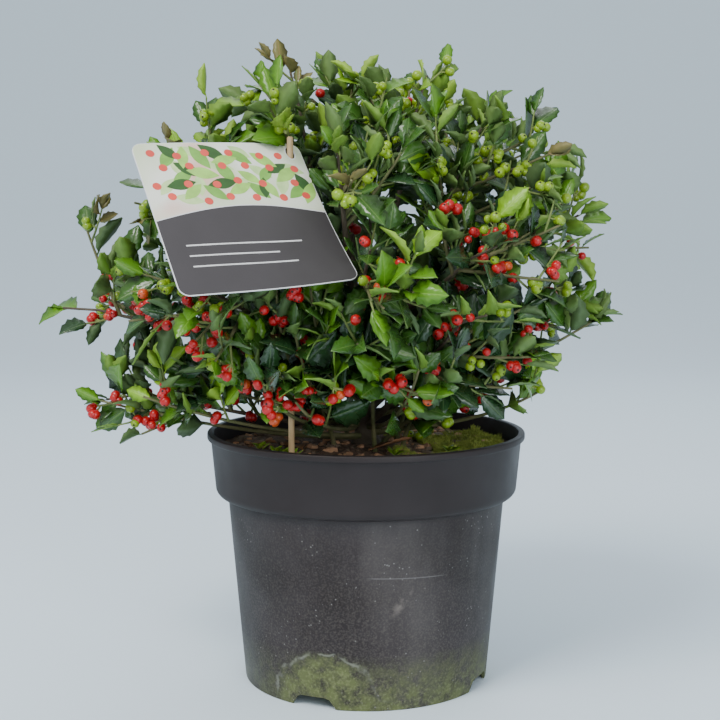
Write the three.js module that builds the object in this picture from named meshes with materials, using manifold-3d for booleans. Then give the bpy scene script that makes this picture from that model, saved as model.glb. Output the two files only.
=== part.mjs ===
// A young blue holly in a nursery pot: a short flared trunk, boughs that fan out from it, and leafy
// masses that fill the crown, with the plant label threaded on a thin wooden stick.
// Millimetres, +Z up, origin at the centre of the pot's underside. The label hangs on the -Y side.

import * as THREE from "three";
import { mergeVertices } from "three/addons/utils/BufferGeometryUtils.js";
import Module from "manifold-3d";

const wasm = await Module();
wasm.setup();

// ---------------------------------------------------------------- driving dimensions

const gap = 0.3; // air between two pieces that touch
const finest = 0.01; // detail smaller than this is smoothed away in a leafy mass

const pot = {
  height: 180,
  lipRadius: 115, // outside of the bead round the mouth
  beadHeight: 5,
  bandTopRadius: 112.6, // the wide band under the bead
  bandFootRadius: 109.2,
  bandFoot: 134.5, // height of the band's lower edge
  bandRound: 6,
  wallTopRadius: 100.4,
  baseRadius: 88.6,
  wall: 2.2,
  floor: 3,
  recessInner: 70, // ring-shaped hollow under the edge of the floor
  recessDepth: 9,
  segments: 32,
};

const notch = { count: 4, first: -114, topWidth: 20, footWidth: 34, height: 8 }; // drain notches

// The potting mix lies flat at the edge, 13 mm under the lip, and is heaped up round the trunk.
const mix = { edge: 167, heap: 171, heapRadius: 20, slopeRadius: 56 };

const moss = { radius: 84, width: 34, from: -82, to: -28, height: 4, steps: 9, sides: 8 };

const stick = { x: -50.5, y: -70, radius: 2.1, top: 387, depth: 60, sides: 12 };

const label = {
  width: 117.8,
  height: 119.5,
  thick: 0.8,
  corner: 7,
  across: [0.868, 0.495, 0.023], // along the top edge, left to right
  down: [0.331, -0.544, -0.771], // down the left edge
  slotAcross: 109.5, // centre of the slot for the stick, from the left edge
  slotDown: 8.2, // and from the top edge
  slotWidth: 6,
  slotLength: 10,
  slotHeight: 376, // where on the stick the card sits
};

const trunk = { tall: 48, footRadius: 7.4, topRadius: 4.8, flare: 4.6, lean: [-4, 2], sides: 8 };

const crown = {
  heart: [-12, 0, 288], // the point that the crown's outline is measured from
  halfWidth: 188,
  halfDepth: 170,
  rise: 175,
  drop: 116,
  fringe: 3, // by how much leaf tips may stand out of it
  seat: 0.64, // how far out a mass has its middle, as a share of the reach
  room: 2.5, // space kept round a mass's stem inside the mass's own space
};

// Shoots that stand out of the round outline, and hollows in it: where, how wide, by what share.
const lobes = [
  { azimuth: 180, climb: 20, spread: 9, gain: 0.15 },
  { azimuth: 177, climb: -6, spread: 10, gain: 0.25 },
  { azimuth: 182, climb: -34, spread: 15, gain: 0.44 },
  { azimuth: 180, climb: 5, spread: 6, gain: -0.08 },
  { azimuth: 180, climb: 46, spread: 8, gain: 0.06 },
  { azimuth: 0, climb: 34, spread: 18, gain: 0.07 },
  { azimuth: 0, climb: -3, spread: 8, gain: 0.15 },
  { azimuth: 0, climb: -22, spread: 12, gain: -0.12 },
  { azimuth: 75, climb: -10, spread: 14, gain: 0.09 },
  { azimuth: 105, climb: 34, spread: 12, gain: 0.07 },
  { azimuth: 250, climb: 10, spread: 12, gain: 0.05 },
];

// Rings of limbs. A ring's climb swings with azimuth, so the crown hangs lower on the -X side. Its
// limbs fork from the trunk, or from the nearest limb of an earlier ring, at a share of its length.
// The last two numbers are the limb's radii at its fork and where its mass begins.
const ring = (name, count, azimuth, climb, swing, from, fork, base, tip) => ({
  name, count, azimuth, climb, swing, from, fork, base, tip,
});
const tiers = [
  ring("low", 8, 178, -19, 11, "trunk", 0.22, 3.1, 2.0),
  ring("top", 3, 215, 68, 0, "trunk", 0.8, 3.8, 2.2),
  ring("upper", 6, 205, 37, 8, "trunk", 0.6, 3.8, 2.2),
  ring("middle", 8, 180, 5, 9, "upper", 0.28, 2.8, 1.9),
];

const forkSteps = { trunk: [0, 0.1, 0.2], upper: [0, 0.07] }; // added to the share in turn
const stray = { azimuth: 14, climb: 6, round: 0.8, angle: 12 }; // widths of the seeded scatter
const bough = { sides: 5, steps: 3, sag: 0.05, wobble: 7, shortest: 0.36, longest: 0.9 };
const twig = {
  count: 4, // on one stem
  first: 0.13, // share of the stem below the lowest one
  span: 0.8, // share of the stem that they are spread over
  length: 60,
  shrink: 0.4, // by how much the top one would be shorter than the lowest
  angle: 57,
  base: 1.9,
  tip: 1.3,
  lift: 0.16,
  shortest: 24,
  swings: [0, 50, -50, 100, -100],
};
const leaf = {
  length: 47,
  width: 28,
  thick: 1.2,
  fold: 1.6, // how far the blade's edges stand above its keel
  widest: 0.44, // where along the blade, as a share of its length
  angle: 50, // between a leaf and its shoot
  lift: 0.1,
  roll: 75, // every other leaf turns this far about its shoot's direction, the rest as far back
};
const node = { length: 4.5, spacing: 20, turn: 60, inset: 4 }; // where leaves sit along a shoot
const bare = { stem: 0.3, twig: 8 }; // leafless start of a stem, as a share of it, and of a twig
const berry = { radius: 4.4, perMass: 2 };
const clearance = { limb: 3, leaf: 0.4, pot: 2, label: 2, stick: 2.5, behindLabel: 6 };

const goldenAngle = Math.PI * (3 - Math.sqrt(5)); // from one twig to the next

// ---------------------------------------------------------------- materials

const finish = (color, roughness) => new THREE.MeshStandardMaterial({ color, roughness, metalness: 0 });
const potPlastic = finish(0x34343a, 0.55);
const pottingMix = finish(0x2c1c14, 0.95);
const mossGreen = finish(0x587a1c, 0.95);
const bark = finish(0x56502f, 0.8);
const leafGreen = finish(0x2d5a1f, 0.4);
const cardFace = finish(0x4b474b, 0.35);
const cane = finish(0xcaa06a, 0.7);

// ---------------------------------------------------------------- helpers

const radians = THREE.MathUtils.degToRad;
const vector = (list) => new THREE.Vector3(...list);
const up = new THREE.Vector3(0, 0, 1);

// Numbers from 0 to 1, the same on every run for the same seed.
function seededRandom(seed) {
  let state = (seed * 7919 + 104729) % 2147483647;
  return () => {
    state = (state * 48271) % 2147483647;
    return state / 2147483647;
  };
}

function direction(azimuth, climb) {
  const flat = Math.cos(radians(climb));
  return new THREE.Vector3(
    flat * Math.cos(radians(azimuth)),
    flat * Math.sin(radians(azimuth)),
    Math.sin(radians(climb)),
  );
}

// A closed three.js geometry as a manifold-3d solid.
function solidOf(geometry) {
  const bare = new THREE.BufferGeometry().setAttribute("position", geometry.getAttribute("position"));
  if (geometry.index) bare.setIndex(geometry.index);
  const merged = mergeVertices(bare, 1e-3);
  return new wasm.Manifold(
    new wasm.Mesh({
      numProp: 3,
      vertProperties: merged.attributes.position.array,
      triVerts: new Uint32Array(merged.index.array),
    }),
  );
}

const touching = (solid, other) => {
  const [a, b] = [solid.boundingBox(), other.boundingBox()];
  const apart = [0, 1, 2].some((n) => a.min[n] > b.max[n] || b.min[n] > a.max[n]);
  return !apart && solid.intersect(other).volume() > 0;
};

function meshOf(solid, name, material) {
  const { vertProperties, triVerts } = solid.getMesh();
  const geometry = new THREE.BufferGeometry()
    .setAttribute("position", new THREE.BufferAttribute(vertProperties, 3))
    .setIndex(new THREE.BufferAttribute(triVerts, 1));
  geometry.computeVertexNormals();
  const mesh = new THREE.Mesh(geometry, material);
  mesh.name = name;
  return mesh;
}

// A closed tube whose ring n has radii[n] round centres[n].
function taperedTube(centres, radii, sides) {
  const positions = [];
  const faces = [];
  const last = centres.length - 1;
  let across = null;
  centres.forEach((centre, n) => {
    const before = centres[Math.max(n - 1, 0)];
    const along = centres[Math.min(n + 1, last)].clone().sub(before).normalize();
    across ??= new THREE.Vector3(0.31, 0.87, 0.38).cross(along);
    across.addScaledVector(along, -across.dot(along)).normalize();
    const other = along.clone().cross(across);
    for (let side = 0; side < sides; side++) {
      const angle = (2 * Math.PI * side) / sides;
      const point = centre.clone();
      point.addScaledVector(across, radii[n] * Math.cos(angle));
      point.addScaledVector(other, radii[n] * Math.sin(angle));
      positions.push(...point);
    }
  });
  for (let n = 0; n < last; n++) {
    for (let side = 0; side < sides; side++) {
      const [a, b] = [n * sides + side, n * sides + ((side + 1) % sides)];
      faces.push(a, b, b + sides, a, b + sides, a + sides);
    }
  }
  for (let side = 1; side < sides - 1; side++) {
    faces.push(0, side + 1, side);
    faces.push(last * sides, last * sides + side, last * sides + side + 1);
  }
  return new THREE.BufferGeometry()
    .setAttribute("position", new THREE.Float32BufferAttribute(positions, 3))
    .setIndex(faces);
}

// ---------------------------------------------------------------- pot, potting mix and moss

// A lathe about Z from [radius, height] pairs, listed from the bottom of the axis to its top.
function lathe(profile, segments) {
  const points = profile.map(([radius, height]) => new THREE.Vector2(radius, height));
  return new THREE.LatheGeometry(points, segments).rotateX(Math.PI / 2);
}

const mouthRadius = pot.bandTopRadius - pot.wall;
const wallRadiusAt = (z) => pot.baseRadius + ((pot.wallTopRadius - pot.baseRadius) * z) / pot.bandFoot;

function potSolid() {
  const recessTop = pot.recessDepth;
  const floorTop = recessTop + pot.floor;
  const recessOuter = pot.baseRadius - pot.wall;
  const beadFoot = pot.height - pot.beadHeight;
  const bandShelf = pot.bandFoot + pot.wall;
  const rounding = [];
  for (const step of [0, 1, 2]) {
    const angle = (step * Math.PI) / 4;
    rounding.push([
      pot.bandFootRadius - pot.bandRound * (1 - Math.sin(angle)),
      pot.bandFoot + pot.bandRound * (1 - Math.cos(angle)),
    ]);
  }
  const profile = [
    [0, 0],
    [pot.recessInner, 0],
    [pot.recessInner, recessTop],
    [recessOuter, recessTop],
    [recessOuter, 0],
    [pot.baseRadius, 0],
    [pot.wallTopRadius, pot.bandFoot],
    ...rounding,
    [pot.bandTopRadius, beadFoot],
    [pot.lipRadius, beadFoot + 1],
    [pot.lipRadius, pot.height - 0.8],
    [pot.lipRadius - 0.8, pot.height],
    [mouthRadius, pot.height],
    [pot.bandFootRadius - pot.wall, bandShelf],
    [pot.wallTopRadius - pot.wall, bandShelf],
    [wallRadiusAt(floorTop) - pot.wall, floorTop],
    [pot.recessInner - pot.floor, floorTop],
    [pot.recessInner - pot.floor, pot.floor],
    [0, pot.floor],
  ];
  let solid = solidOf(lathe(profile, pot.segments));
  const outline = new THREE.Shape();
  outline.moveTo(-notch.footWidth / 2, -1);
  outline.lineTo(notch.footWidth / 2, -1);
  outline.lineTo(notch.topWidth / 2, notch.height);
  outline.lineTo(-notch.topWidth / 2, notch.height);
  for (let n = 0; n < notch.count; n++) {
    const depth = pot.baseRadius - pot.recessInner;
    const cut = new THREE.ExtrudeGeometry(outline, { depth, bevelEnabled: false, steps: 1 });
    cut.rotateX(Math.PI / 2).rotateZ(Math.PI / 2); // the outline's depth now runs along +X
    cut.translate(pot.recessInner + 4, 0, 0);
    cut.rotateZ(radians(notch.first + (360 / notch.count) * n));
    solid = solid.subtract(solidOf(cut));
  }
  return solid;
}

function mixSolid() {
  const inner = pot.recessInner - pot.floor - gap;
  const low = pot.floor + gap;
  const high = pot.recessDepth + pot.floor + gap;
  const shelf = pot.bandFoot + pot.wall + gap;
  const profile = [
    [0, low],
    [inner, low],
    [inner, high],
    [wallRadiusAt(high) - pot.wall - 2 * gap, high],
    [pot.wallTopRadius - pot.wall - 2 * gap, shelf],
    [pot.bandFootRadius - pot.wall - 2 * gap, shelf],
    [pot.bandFootRadius - pot.wall - gap, mix.edge],
    [mix.slopeRadius, mix.edge],
    [mix.heapRadius, mix.heap],
    [0, mix.heap],
  ];
  const holeRadius = stick.radius + gap;
  const hole = new THREE.CylinderGeometry(holeRadius, holeRadius, 2 * stick.depth, stick.sides);
  hole.rotateX(Math.PI / 2).translate(stick.x, stick.y, mix.edge);
  return solidOf(lathe(profile, pot.segments)).subtract(solidOf(hole));
}

// A low cushion of moss along the edge of the potting mix, on the side of the label.
function mossSolid() {
  const centres = [];
  const radii = [];
  for (let n = 0; n <= moss.steps; n++) {
    const share = n / moss.steps;
    const angle = radians(moss.from + (moss.to - moss.from) * share);
    const swell = Math.sin(Math.PI * (0.12 + 0.76 * share));
    centres.push(new THREE.Vector3(moss.radius * Math.cos(angle), moss.radius * Math.sin(angle), 0));
    radii.push((moss.width / 2) * swell);
  }
  const cushion = taperedTube(centres, radii, moss.sides).scale(1, 1, (2 * moss.height) / moss.width);
  return solidOf(cushion)
    .trimByPlane([0, 0, 1], 0)
    .translate([0, 0, mix.edge + gap]);
}

// ---------------------------------------------------------------- label and its stick

const labelAcross = vector(label.across).normalize();
const labelDown = vector(label.down)
  .addScaledVector(labelAcross, -vector(label.down).dot(labelAcross))
  .normalize();
const labelFace = labelDown.clone().cross(labelAcross); // out of the printed side
const labelSlot = new THREE.Vector3(stick.x, stick.y, label.slotHeight);
const labelCorner = labelSlot
  .clone()
  .addScaledVector(labelAcross, -label.slotAcross)
  .addScaledVector(labelDown, -label.slotDown);

function labelSolid() {
  const { width, height, corner, slotWidth, slotLength } = label;
  const outline = new THREE.Shape();
  outline.moveTo(corner, 0);
  outline.lineTo(width - corner, 0);
  outline.absarc(width - corner, corner, corner, -Math.PI / 2, 0);
  outline.lineTo(width, height - corner);
  outline.absarc(width - corner, height - corner, corner, 0, Math.PI / 2);
  outline.lineTo(corner, height);
  outline.absarc(corner, height - corner, corner, Math.PI / 2, Math.PI);
  outline.lineTo(0, corner);
  outline.absarc(corner, corner, corner, Math.PI, 1.5 * Math.PI);
  const slot = new THREE.Path();
  slot.absellipse(label.slotAcross, label.slotDown, slotWidth / 2, slotLength / 2, 0, 2 * Math.PI);
  outline.holes.push(slot);
  const settings = { depth: label.thick, bevelEnabled: false, curveSegments: 4 };
  const card = new THREE.ExtrudeGeometry(outline, settings);
  // Across, down and the printed side make a right-handed set only with the back as the depth.
  const back = labelFace.clone().negate();
  const place = new THREE.Matrix4().makeBasis(labelAcross, labelDown, back);
  card.applyMatrix4(place.setPosition(labelCorner));
  return solidOf(card);
}

function stickSolid() {
  const foot = mix.edge - stick.depth + gap;
  const length = stick.top - foot;
  const rod = new THREE.CylinderGeometry(stick.radius * 0.7, stick.radius, length, stick.sides, 1);
  const straight = new THREE.CylinderGeometry(stick.radius, stick.radius, length - 4, stick.sides, 1);
  straight.translate(0, -2, 0);
  return solidOf(rod)
    .add(solidOf(straight))
    .rotate([90, 0, 0])
    .translate([stick.x, stick.y, foot + length / 2]);
}

// ---------------------------------------------------------------- the crown's outline and its limbs

const heart = vector(crown.heart);

// How far the crown reaches from its heart in a direction.
function crownReach(way) {
  const tall = way.z > 0 ? crown.rise : crown.drop;
  const round = 1 / Math.hypot(way.x / crown.halfWidth, way.y / crown.halfDepth, way.z / tall);
  let share = 1;
  for (const lobe of lobes) {
    const away = Math.acos(THREE.MathUtils.clamp(way.dot(direction(lobe.azimuth, lobe.climb)), -1, 1));
    share += lobe.gain * Math.exp(-((away / radians(lobe.spread)) ** 2));
  }
  return round * share;
}

const trunkFoot = new THREE.Vector3(0, 0, mix.heap + gap);
const trunkTop = trunkFoot.clone().add(new THREE.Vector3(...trunk.lean, trunk.tall));
const trunkAt = (share) => trunkFoot.clone().lerp(trunkTop, share);
const trunkRadius = (share) =>
  trunk.footRadius + (trunk.topRadius - trunk.footRadius) * share + trunk.flare * Math.exp(-share * 14);

// One limb runs from where it forks to near the outline. The bough is its inner stretch and the
// stem of a leafy mass its outer one.
function limbsOf() {
  const limbs = [];
  let seed = 1;
  for (const tier of tiers) {
    for (let n = 0; n < tier.count; n++) {
      const random = seededRandom(seed++);
      const azimuth = tier.azimuth + (360 / tier.count) * n + stray.azimuth * (random() - 0.5);
      const swing = tier.swing * Math.cos(radians(azimuth));
      const climb = tier.climb + swing + stray.climb * (random() - 0.5);
      const way = direction(azimuth, climb);
      const reach = crownReach(way);
      const tip = heart.clone().addScaledVector(way, reach - leaf.length);
      const limb = { name: `${tier.name}_${n + 1}`, tier, way, random };
      limb.seat = heart.clone().addScaledVector(way, crown.seat * reach);
      const steps = forkSteps[tier.from];
      const fork = tier.fork + steps[n % steps.length];
      if (tier.from === "trunk") {
        limb.start = trunkAt(fork);
      } else {
        const near = limbs.filter((other) => other.tier.name === tier.from);
        near.sort((a, b) => b.way.dot(way) - a.way.dot(way));
        limb.start = near[0].curve.getPoint(fork);
      }
      const middle = limb.start.clone().lerp(tip, 0.5);
      const length = limb.start.distanceTo(tip);
      middle.z -= bough.sag * length;
      middle.x += bough.wobble * (random() - 0.5);
      middle.y += bough.wobble * (random() - 0.5);
      limb.curve = new THREE.QuadraticBezierCurve3(limb.start, middle, tip);
      limbs.push(limb);
    }
  }
  return limbs;
}

const limbs = limbsOf();

// A mass's own space holds the points that are nearer to its seat than to any other.
function inOwnSpace(limb, point, margin) {
  const own = point.distanceToSquared(limb.seat);
  return limbs.every((other) => {
    if (other === limb) return true;
    const apart = other.seat.distanceTo(limb.seat);
    return (point.distanceToSquared(other.seat) - own) / (2 * apart) > margin;
  });
}

// The bough ends where the limb enters its mass's space for good, and a straight stem goes on.
for (const limb of limbs) {
  let share = bough.longest;
  while (share > bough.shortest && inOwnSpace(limb, limb.curve.getPoint(share - 0.01), crown.room)) {
    share -= 0.01;
  }
  limb.gate = share;
  limb.stem = new THREE.LineCurve3(limb.curve.getPoint(share), limb.curve.getPoint(1));
}

const boughRadius = ({ tier, gate }, share) => tier.base + ((tier.tip - tier.base) * share) / gate;

// ---------------------------------------------------------------- boughs and the trunk

// Rings at shares of the trunk's height. The lowest is under its foot, to be cut off flat.
function trunkTube(extra) {
  const shares = [-0.08, 0.04, 0.1, 0.2, 0.45, 0.75, 1 + extra / trunk.tall];
  const radii = shares.map((share) => trunkRadius(Math.max(share, 0)) + extra);
  return solidOf(taperedTube(shares.map(trunkAt), radii, trunk.sides));
}

// A bough's tube up to its gate, or a thicker and longer one to cut others clear of it.
function boughTube(limb, extra) {
  const from = -extra / limb.curve.getLength();
  const centres = [];
  const radii = [];
  for (let n = 0; n <= bough.steps; n++) {
    const share = from + ((limb.gate - from) * n) / bough.steps;
    centres.push(limb.curve.getPoint(share));
    radii.push(boughRadius(limb, Math.max(share, 0)) + extra);
  }
  return solidOf(taperedTube(centres, radii, bough.sides));
}

const trunkSolid = trunkTube(0).trimByPlane([0, 0, 1], trunkFoot.z);
const thickTrunk = trunkTube(2 * gap);

// A bough is cut clear of the trunk, of its parent, and of any earlier bough that it brushes.
function boughSolids() {
  const done = [];
  for (const limb of limbs) {
    let solid = boughTube(limb, 0).subtract(thickTrunk);
    for (const before of done) {
      if (touching(solid, before.cutter)) solid = solid.subtract(before.cutter);
    }
    const pieces = solid.decompose().sort((a, b) => b.volume() - a.volume());
    const [cutter, thick] = [boughTube(limb, 2 * gap), boughTube(limb, 4 * gap)];
    done.push({ limb, solid: pieces[0], cutter, thick });
  }
  return done;
}

const boughs = boughSolids();

// ---------------------------------------------------------------- shoots, leaves and berries as one skin

// A skin is a list of points and of faces, each three point numbers. A form that grows out of a
// skin has the corners of its root face as its first three points, and no face over its root.

const midway = (a, b, share) => a.clone().lerp(b, share);

function graft(skin, face, form) {
  const root = skin.faces[face];
  const shift = skin.points.length - 3;
  skin.points.push(...form.points.slice(3));
  const [first, ...others] = form.faces.map((corners) => corners.map((n) => (n < 3 ? root[n] : n + shift)));
  skin.faces[face] = first;
  skin.faces.push(...others);
}

const tipFace = (nodes) => 6 * (2 * nodes.length + 1) + 1;

// Whether the segment between two points passes through a triangle.
function pierces(from, to, [a, b, c]) {
  const side = (p, q, r, s) => {
    const [u, v, w] = [q.clone().sub(p), r.clone().sub(p), s.clone().sub(p)];
    return u.cross(v).dot(w);
  };
  if (side(a, b, c, from) * side(a, b, c, to) > 0) return false;
  const turns = [side(from, to, a, b), side(from, to, b, c), side(from, to, c, a)];
  return turns.every((turn) => turn > 0) || turns.every((turn) => turn < 0);
}

// Whether any face of a skin, from one face on, passes through another face of that skin.
function crossesItself({ points, faces }, first) {
  const boxes = faces.map((corners) => new THREE.Box3().setFromPoints(corners.map((n) => points[n])));
  const edgeThrough = (edged, flat) =>
    [0, 1, 2].some((n) => {
      const [p, q] = [edged[n], edged[(n + 1) % 3]];
      const apart = !flat.includes(p) && !flat.includes(q);
      return apart && pierces(points[p], points[q], flat.map((corner) => points[corner]));
    });
  for (let n = first; n < faces.length; n++) {
    for (let other = 0; other < n; other++) {
      if (!boxes[n].intersectsBox(boxes[other])) continue;
      if (edgeThrough(faces[n], faces[other]) || edgeThrough(faces[other], faces[n])) return true;
    }
  }
  return false;
}

function skinSolid({ points, faces }) {
  const positions = points.flatMap((point) => [...point]);
  return solidOf(
    new THREE.BufferGeometry()
      .setAttribute("position", new THREE.Float32BufferAttribute(positions, 3))
      .setIndex(faces.flat()),
  );
}

// What no leaf, berry or twig may touch, with a little room round each limb and the stick.
const roundStick = stick.radius + 5 * gap;
const thickStick = new THREE.CylinderGeometry(roundStick, roundStick, 2 * stick.top, 8);
const fixed = [
  thickTrunk,
  labelSolid(),
  solidOf(thickStick.rotateX(Math.PI / 2).translate(stick.x, stick.y, 0)),
  ...boughs.map(({ thick }) => thick),
];

const closedForm = ({ points, faces }) => skinSolid({ points, faces: [...faces, [0, 2, 1]] });

// The three corners of a shoot at one place along it.
function cornersOf(shoot, at, spin) {
  const centre = shoot.start.clone().addScaledVector(shoot.way, at);
  const radius = shoot.base + ((twig.tip - shoot.base) * at) / shoot.length;
  const side = up.clone().cross(shoot.way).normalize().multiplyScalar(radius);
  return [0, 1, 2].map((corner) => {
    const spoke = side.clone().applyAxisAngle(shoot.way, spin + (2 * Math.PI * corner) / 3);
    return spoke.add(centre);
  });
}

// A bare three-sided shoot with a short thick ring at each of its nodes, where forms can grow.
function bareShoot(shoot, nodes) {
  const half = node.length / 2;
  const ends = [{ at: 0, spin: 0 }, { at: shoot.length, spin: 0 }];
  const rings = nodes.flatMap(({ at, spin }) => [{ at: at - half, spin }, { at: at + half, spin }]);
  const stations = [ends[0], ...rings, ends[1]];
  const points = stations.flatMap(({ at, spin }) => cornersOf(shoot, at, spin));
  const faces = [];
  for (let ring = 0; ring < stations.length - 1; ring++) {
    const turnsBack = stations[ring + 1].spin < stations[ring].spin;
    for (const corner of [0, 1, 2]) {
      const [a, b] = [3 * ring + corner, 3 * ring + ((corner + 1) % 3)];
      if (turnsBack) faces.push([a, b, b + 3], [a, b + 3, a + 3]);
      else faces.push([a, b, a + 3], [b, b + 3, a + 3]);
    }
  }
  const last = 3 * (stations.length - 1);
  faces.push([0, 2, 1], [last, last + 1, last + 2]);
  return { points, faces };
}

// The root face on one side of a node, and its number in a skin whose nodes are these.
function nodeRoot(shoot, { at, spin }, corner) {
  const low = cornersOf(shoot, at - node.length / 2, spin);
  const high = cornersOf(shoot, at + node.length / 2, spin);
  return [low[corner], low[(corner + 1) % 3], high[corner]];
}
const nodeFace = (nodes, place, corner) => 6 * (2 * nodes.indexOf(place) + 1) + 2 * corner;

// A leaf is a keeled blade: from its root face to three points across its widest part, and its tip.
function leafForm(root, along, across, size) {
  const face = across.clone().cross(along);
  const origin = midway(midway(root[0], root[1], 0.5), root[2], 1 / 3);
  const at = (far, aside, lift) =>
    origin.clone().addScaledVector(along, far).addScaledVector(across, aside).addScaledVector(face, lift);
  const widest = size * leaf.length * leaf.widest;
  const left = at(widest, (-size * leaf.width) / 2, leaf.fold);
  const right = at(widest, (size * leaf.width) / 2, leaf.fold);
  const keel = at(widest, 0, leaf.fold - leaf.thick);
  const turns = [
    [left, right, keel],
    [right, keel, left],
    [keel, left, right],
  ];
  const twist = (middle) => middle.reduce((sum, point, n) => sum + point.distanceTo(root[n]), 0);
  turns.sort((a, b) => twist(a) - twist(b));
  const points = [...root, ...turns[0], at(size * leaf.length, 0, -leaf.fold)];
  const faces = [[3, 4, 6], [4, 5, 6], [5, 3, 6]];
  for (const n of [0, 1, 2]) faces.push(...bulging(points, n, (n + 1) % 3));
  return { points, faces };
}

// The two faces between a side of the root and the same side of the widest part, split along the
// diagonal that bulges outwards.
function bulging(points, n, next) {
  const [a, b, c, d] = [n, next, next + 3, n + 3];
  const normal = points[b].clone().sub(points[a]).cross(points[c].clone().sub(points[a]));
  const dips = normal.dot(points[d].clone().sub(points[a])) > 0;
  return dips ? [[a, b, d], [b, c, d]] : [[a, b, c], [a, c, d]];
}

// Whether a leaf opens from its root face to its widest part without turning inside out.
function opensCleanly({ points }, along) {
  return [0, 0.3, 0.6, 0.9].every((share) => {
    const [a, b, c] = [0, 1, 2].map((n) => midway(points[n], points[n + 3], share));
    return b.sub(a).cross(c.sub(a)).dot(along) > 0;
  });
}

// A berry is a twenty-faced ball that stands on its root face.
function berryForm(root) {
  const outward = root[1].clone().sub(root[0]).cross(root[2].clone().sub(root[0])).normalize();
  const origin = midway(midway(root[0], root[1], 0.5), root[2], 1 / 3);
  const centre = origin.clone().addScaledVector(outward, berry.radius * 0.86);
  const start = root[0].clone().sub(origin).normalize();
  const ring = (count, height, radius, turn) =>
    Array.from({ length: count }, (_, n) => {
      const way = start.clone().applyAxisAngle(outward, turn + (2 * Math.PI * n) / count);
      return centre.clone().addScaledVector(outward, height).addScaledVector(way, radius);
    });
  const crownRing = ring(3, 0.76 * berry.radius, 0.65 * berry.radius, 0);
  const points = [...root, ...ring(6, 0, berry.radius, 0), ...crownRing];
  const faces = [[9, 10, 11]];
  for (const n of [0, 1, 2]) {
    const [low, high] = [(n + 1) % 3, 9 + ((n + 1) % 3)];
    const [a, b, c] = [3 + 2 * n, 4 + 2 * n, 3 + ((2 * n + 2) % 6)];
    faces.push([n, b, a], [n, low, b], [low, c, b]);
    faces.push([9 + n, a, b], [9 + n, b, high], [high, b, c]);
  }
  return { points, faces };
}

// ---------------------------------------------------------------- the space a mass may use

// Above the pot, hanging a little past its lip, or in its mouth over the potting mix.
function clearOfPot(point) {
  const out = Math.hypot(point.x, point.y);
  const past = out > pot.lipRadius + clearance.limb && point.z > mix.edge - 8;
  const inside = out < mouthRadius - 12 && point.z > mix.heap + clearance.pot;
  return point.z > pot.height + clearance.pot || past || inside;
}

// Nothing grows through the label, close behind it, or before it on the -Y side.
function clearOfLabel(point) {
  const from = point.clone().sub(labelCorner);
  const ahead = -from.dot(labelFace) / labelFace.y;
  from.y += ahead;
  const [across, down] = [from.dot(labelAcross), from.dot(labelDown)];
  const room = clearance.label;
  const over =
    across > -room && across < label.width + room && down > -room && down < label.height + room;
  const offStick = Math.hypot(point.x - stick.x, point.y - stick.y) > stick.radius + clearance.stick;
  return offStick && !(over && ahead > -clearance.behindLabel);
}

function allowed(limb, point, margin) {
  const away = point.clone().sub(heart);
  return (
    away.length() < crownReach(away.clone().normalize()) + crown.fringe &&
    inOwnSpace(limb, point, margin) &&
    clearOfPot(point) &&
    clearOfLabel(point)
  );
}

// A form's corners and the middles of its edges, past the root, are what is tested.
function samplesOf({ points, faces }) {
  const samples = points.slice(3);
  for (const [a, b] of faces) samples.push(midway(points[a], points[b], a < 3 ? 0.6 : 0.5));
  return samples;
}

// ---------------------------------------------------------------- leafy masses

// Twigs branch from the mass's stem by the golden angle. One that has too little space at its own
// place round the stem swings round to where there is more.
function twigsOf(limb) {
  const twigs = [];
  for (let n = 0; n < twig.count; n++) {
    const start = limb.stem.getPoint(twig.first + (twig.span * n) / twig.count);
    const along = limb.stem.getTangent(0);
    const round = n * goldenAngle + stray.round * limb.random();
    const angle = radians(twig.angle + stray.angle * (limb.random() - 0.5));
    const full = twig.length * (1.05 - (twig.shrink * n) / twig.count);
    let best = { length: twig.shortest };
    for (const swing of twig.swings) {
      const side = up.clone().cross(along).normalize().applyAxisAngle(along, round + radians(swing));
      const way = along.clone().multiplyScalar(Math.cos(angle)).addScaledVector(side, Math.sin(angle));
      way.addScaledVector(up, twig.lift).normalize();
      const reaches = (far) => allowed(limb, start.clone().addScaledVector(way, far), clearance.limb);
      let length = full;
      while (length > best.length && !(reaches(length) && reaches(length + 0.7 * leaf.length))) length -= 2;
      if (length > best.length) best = { start, way, length };
      if (length > 0.6 * full) break;
    }
    if (best.way) twigs.push(best);
  }
  return twigs;
}

// A shoot's nodes lie at even steps back from its tip, and every other one is turned.
function withNodes(shoot, leafless) {
  const nodes = [];
  for (let at = shoot.length - node.inset; at > leafless; at -= node.spacing) {
    nodes.unshift({ at, spin: nodes.length % 2 ? radians(node.turn) : 0 });
  }
  return { ...shoot, nodes };
}

function shootsOf(limb) {
  const way = limb.stem.getTangent(0);
  const start = limb.stem.v1.clone().addScaledVector(way, 1.7 * gap);
  const length = start.distanceTo(limb.stem.v2);
  const stem = { start, way, tipWay: limb.way, length, base: limb.tier.tip };
  const sides = twigsOf(limb).map((side) => ({ ...side, tipWay: side.way, base: twig.base }));
  const shoots = [stem, ...sides];
  return shoots.map((shoot) => withNodes(shoot, shoot === stem ? bare.stem * stem.length : bare.twig));
}

// The ways in which a leaf may leave its root face, best first, and the sizes it may have.
const leafTurns = [[0, 0], [16, 0], [-16, 0], [0, 28], [0, -28], [30, 0], [10, 50], [10, -50]];
const leafSizes = [1, 0.8];

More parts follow.
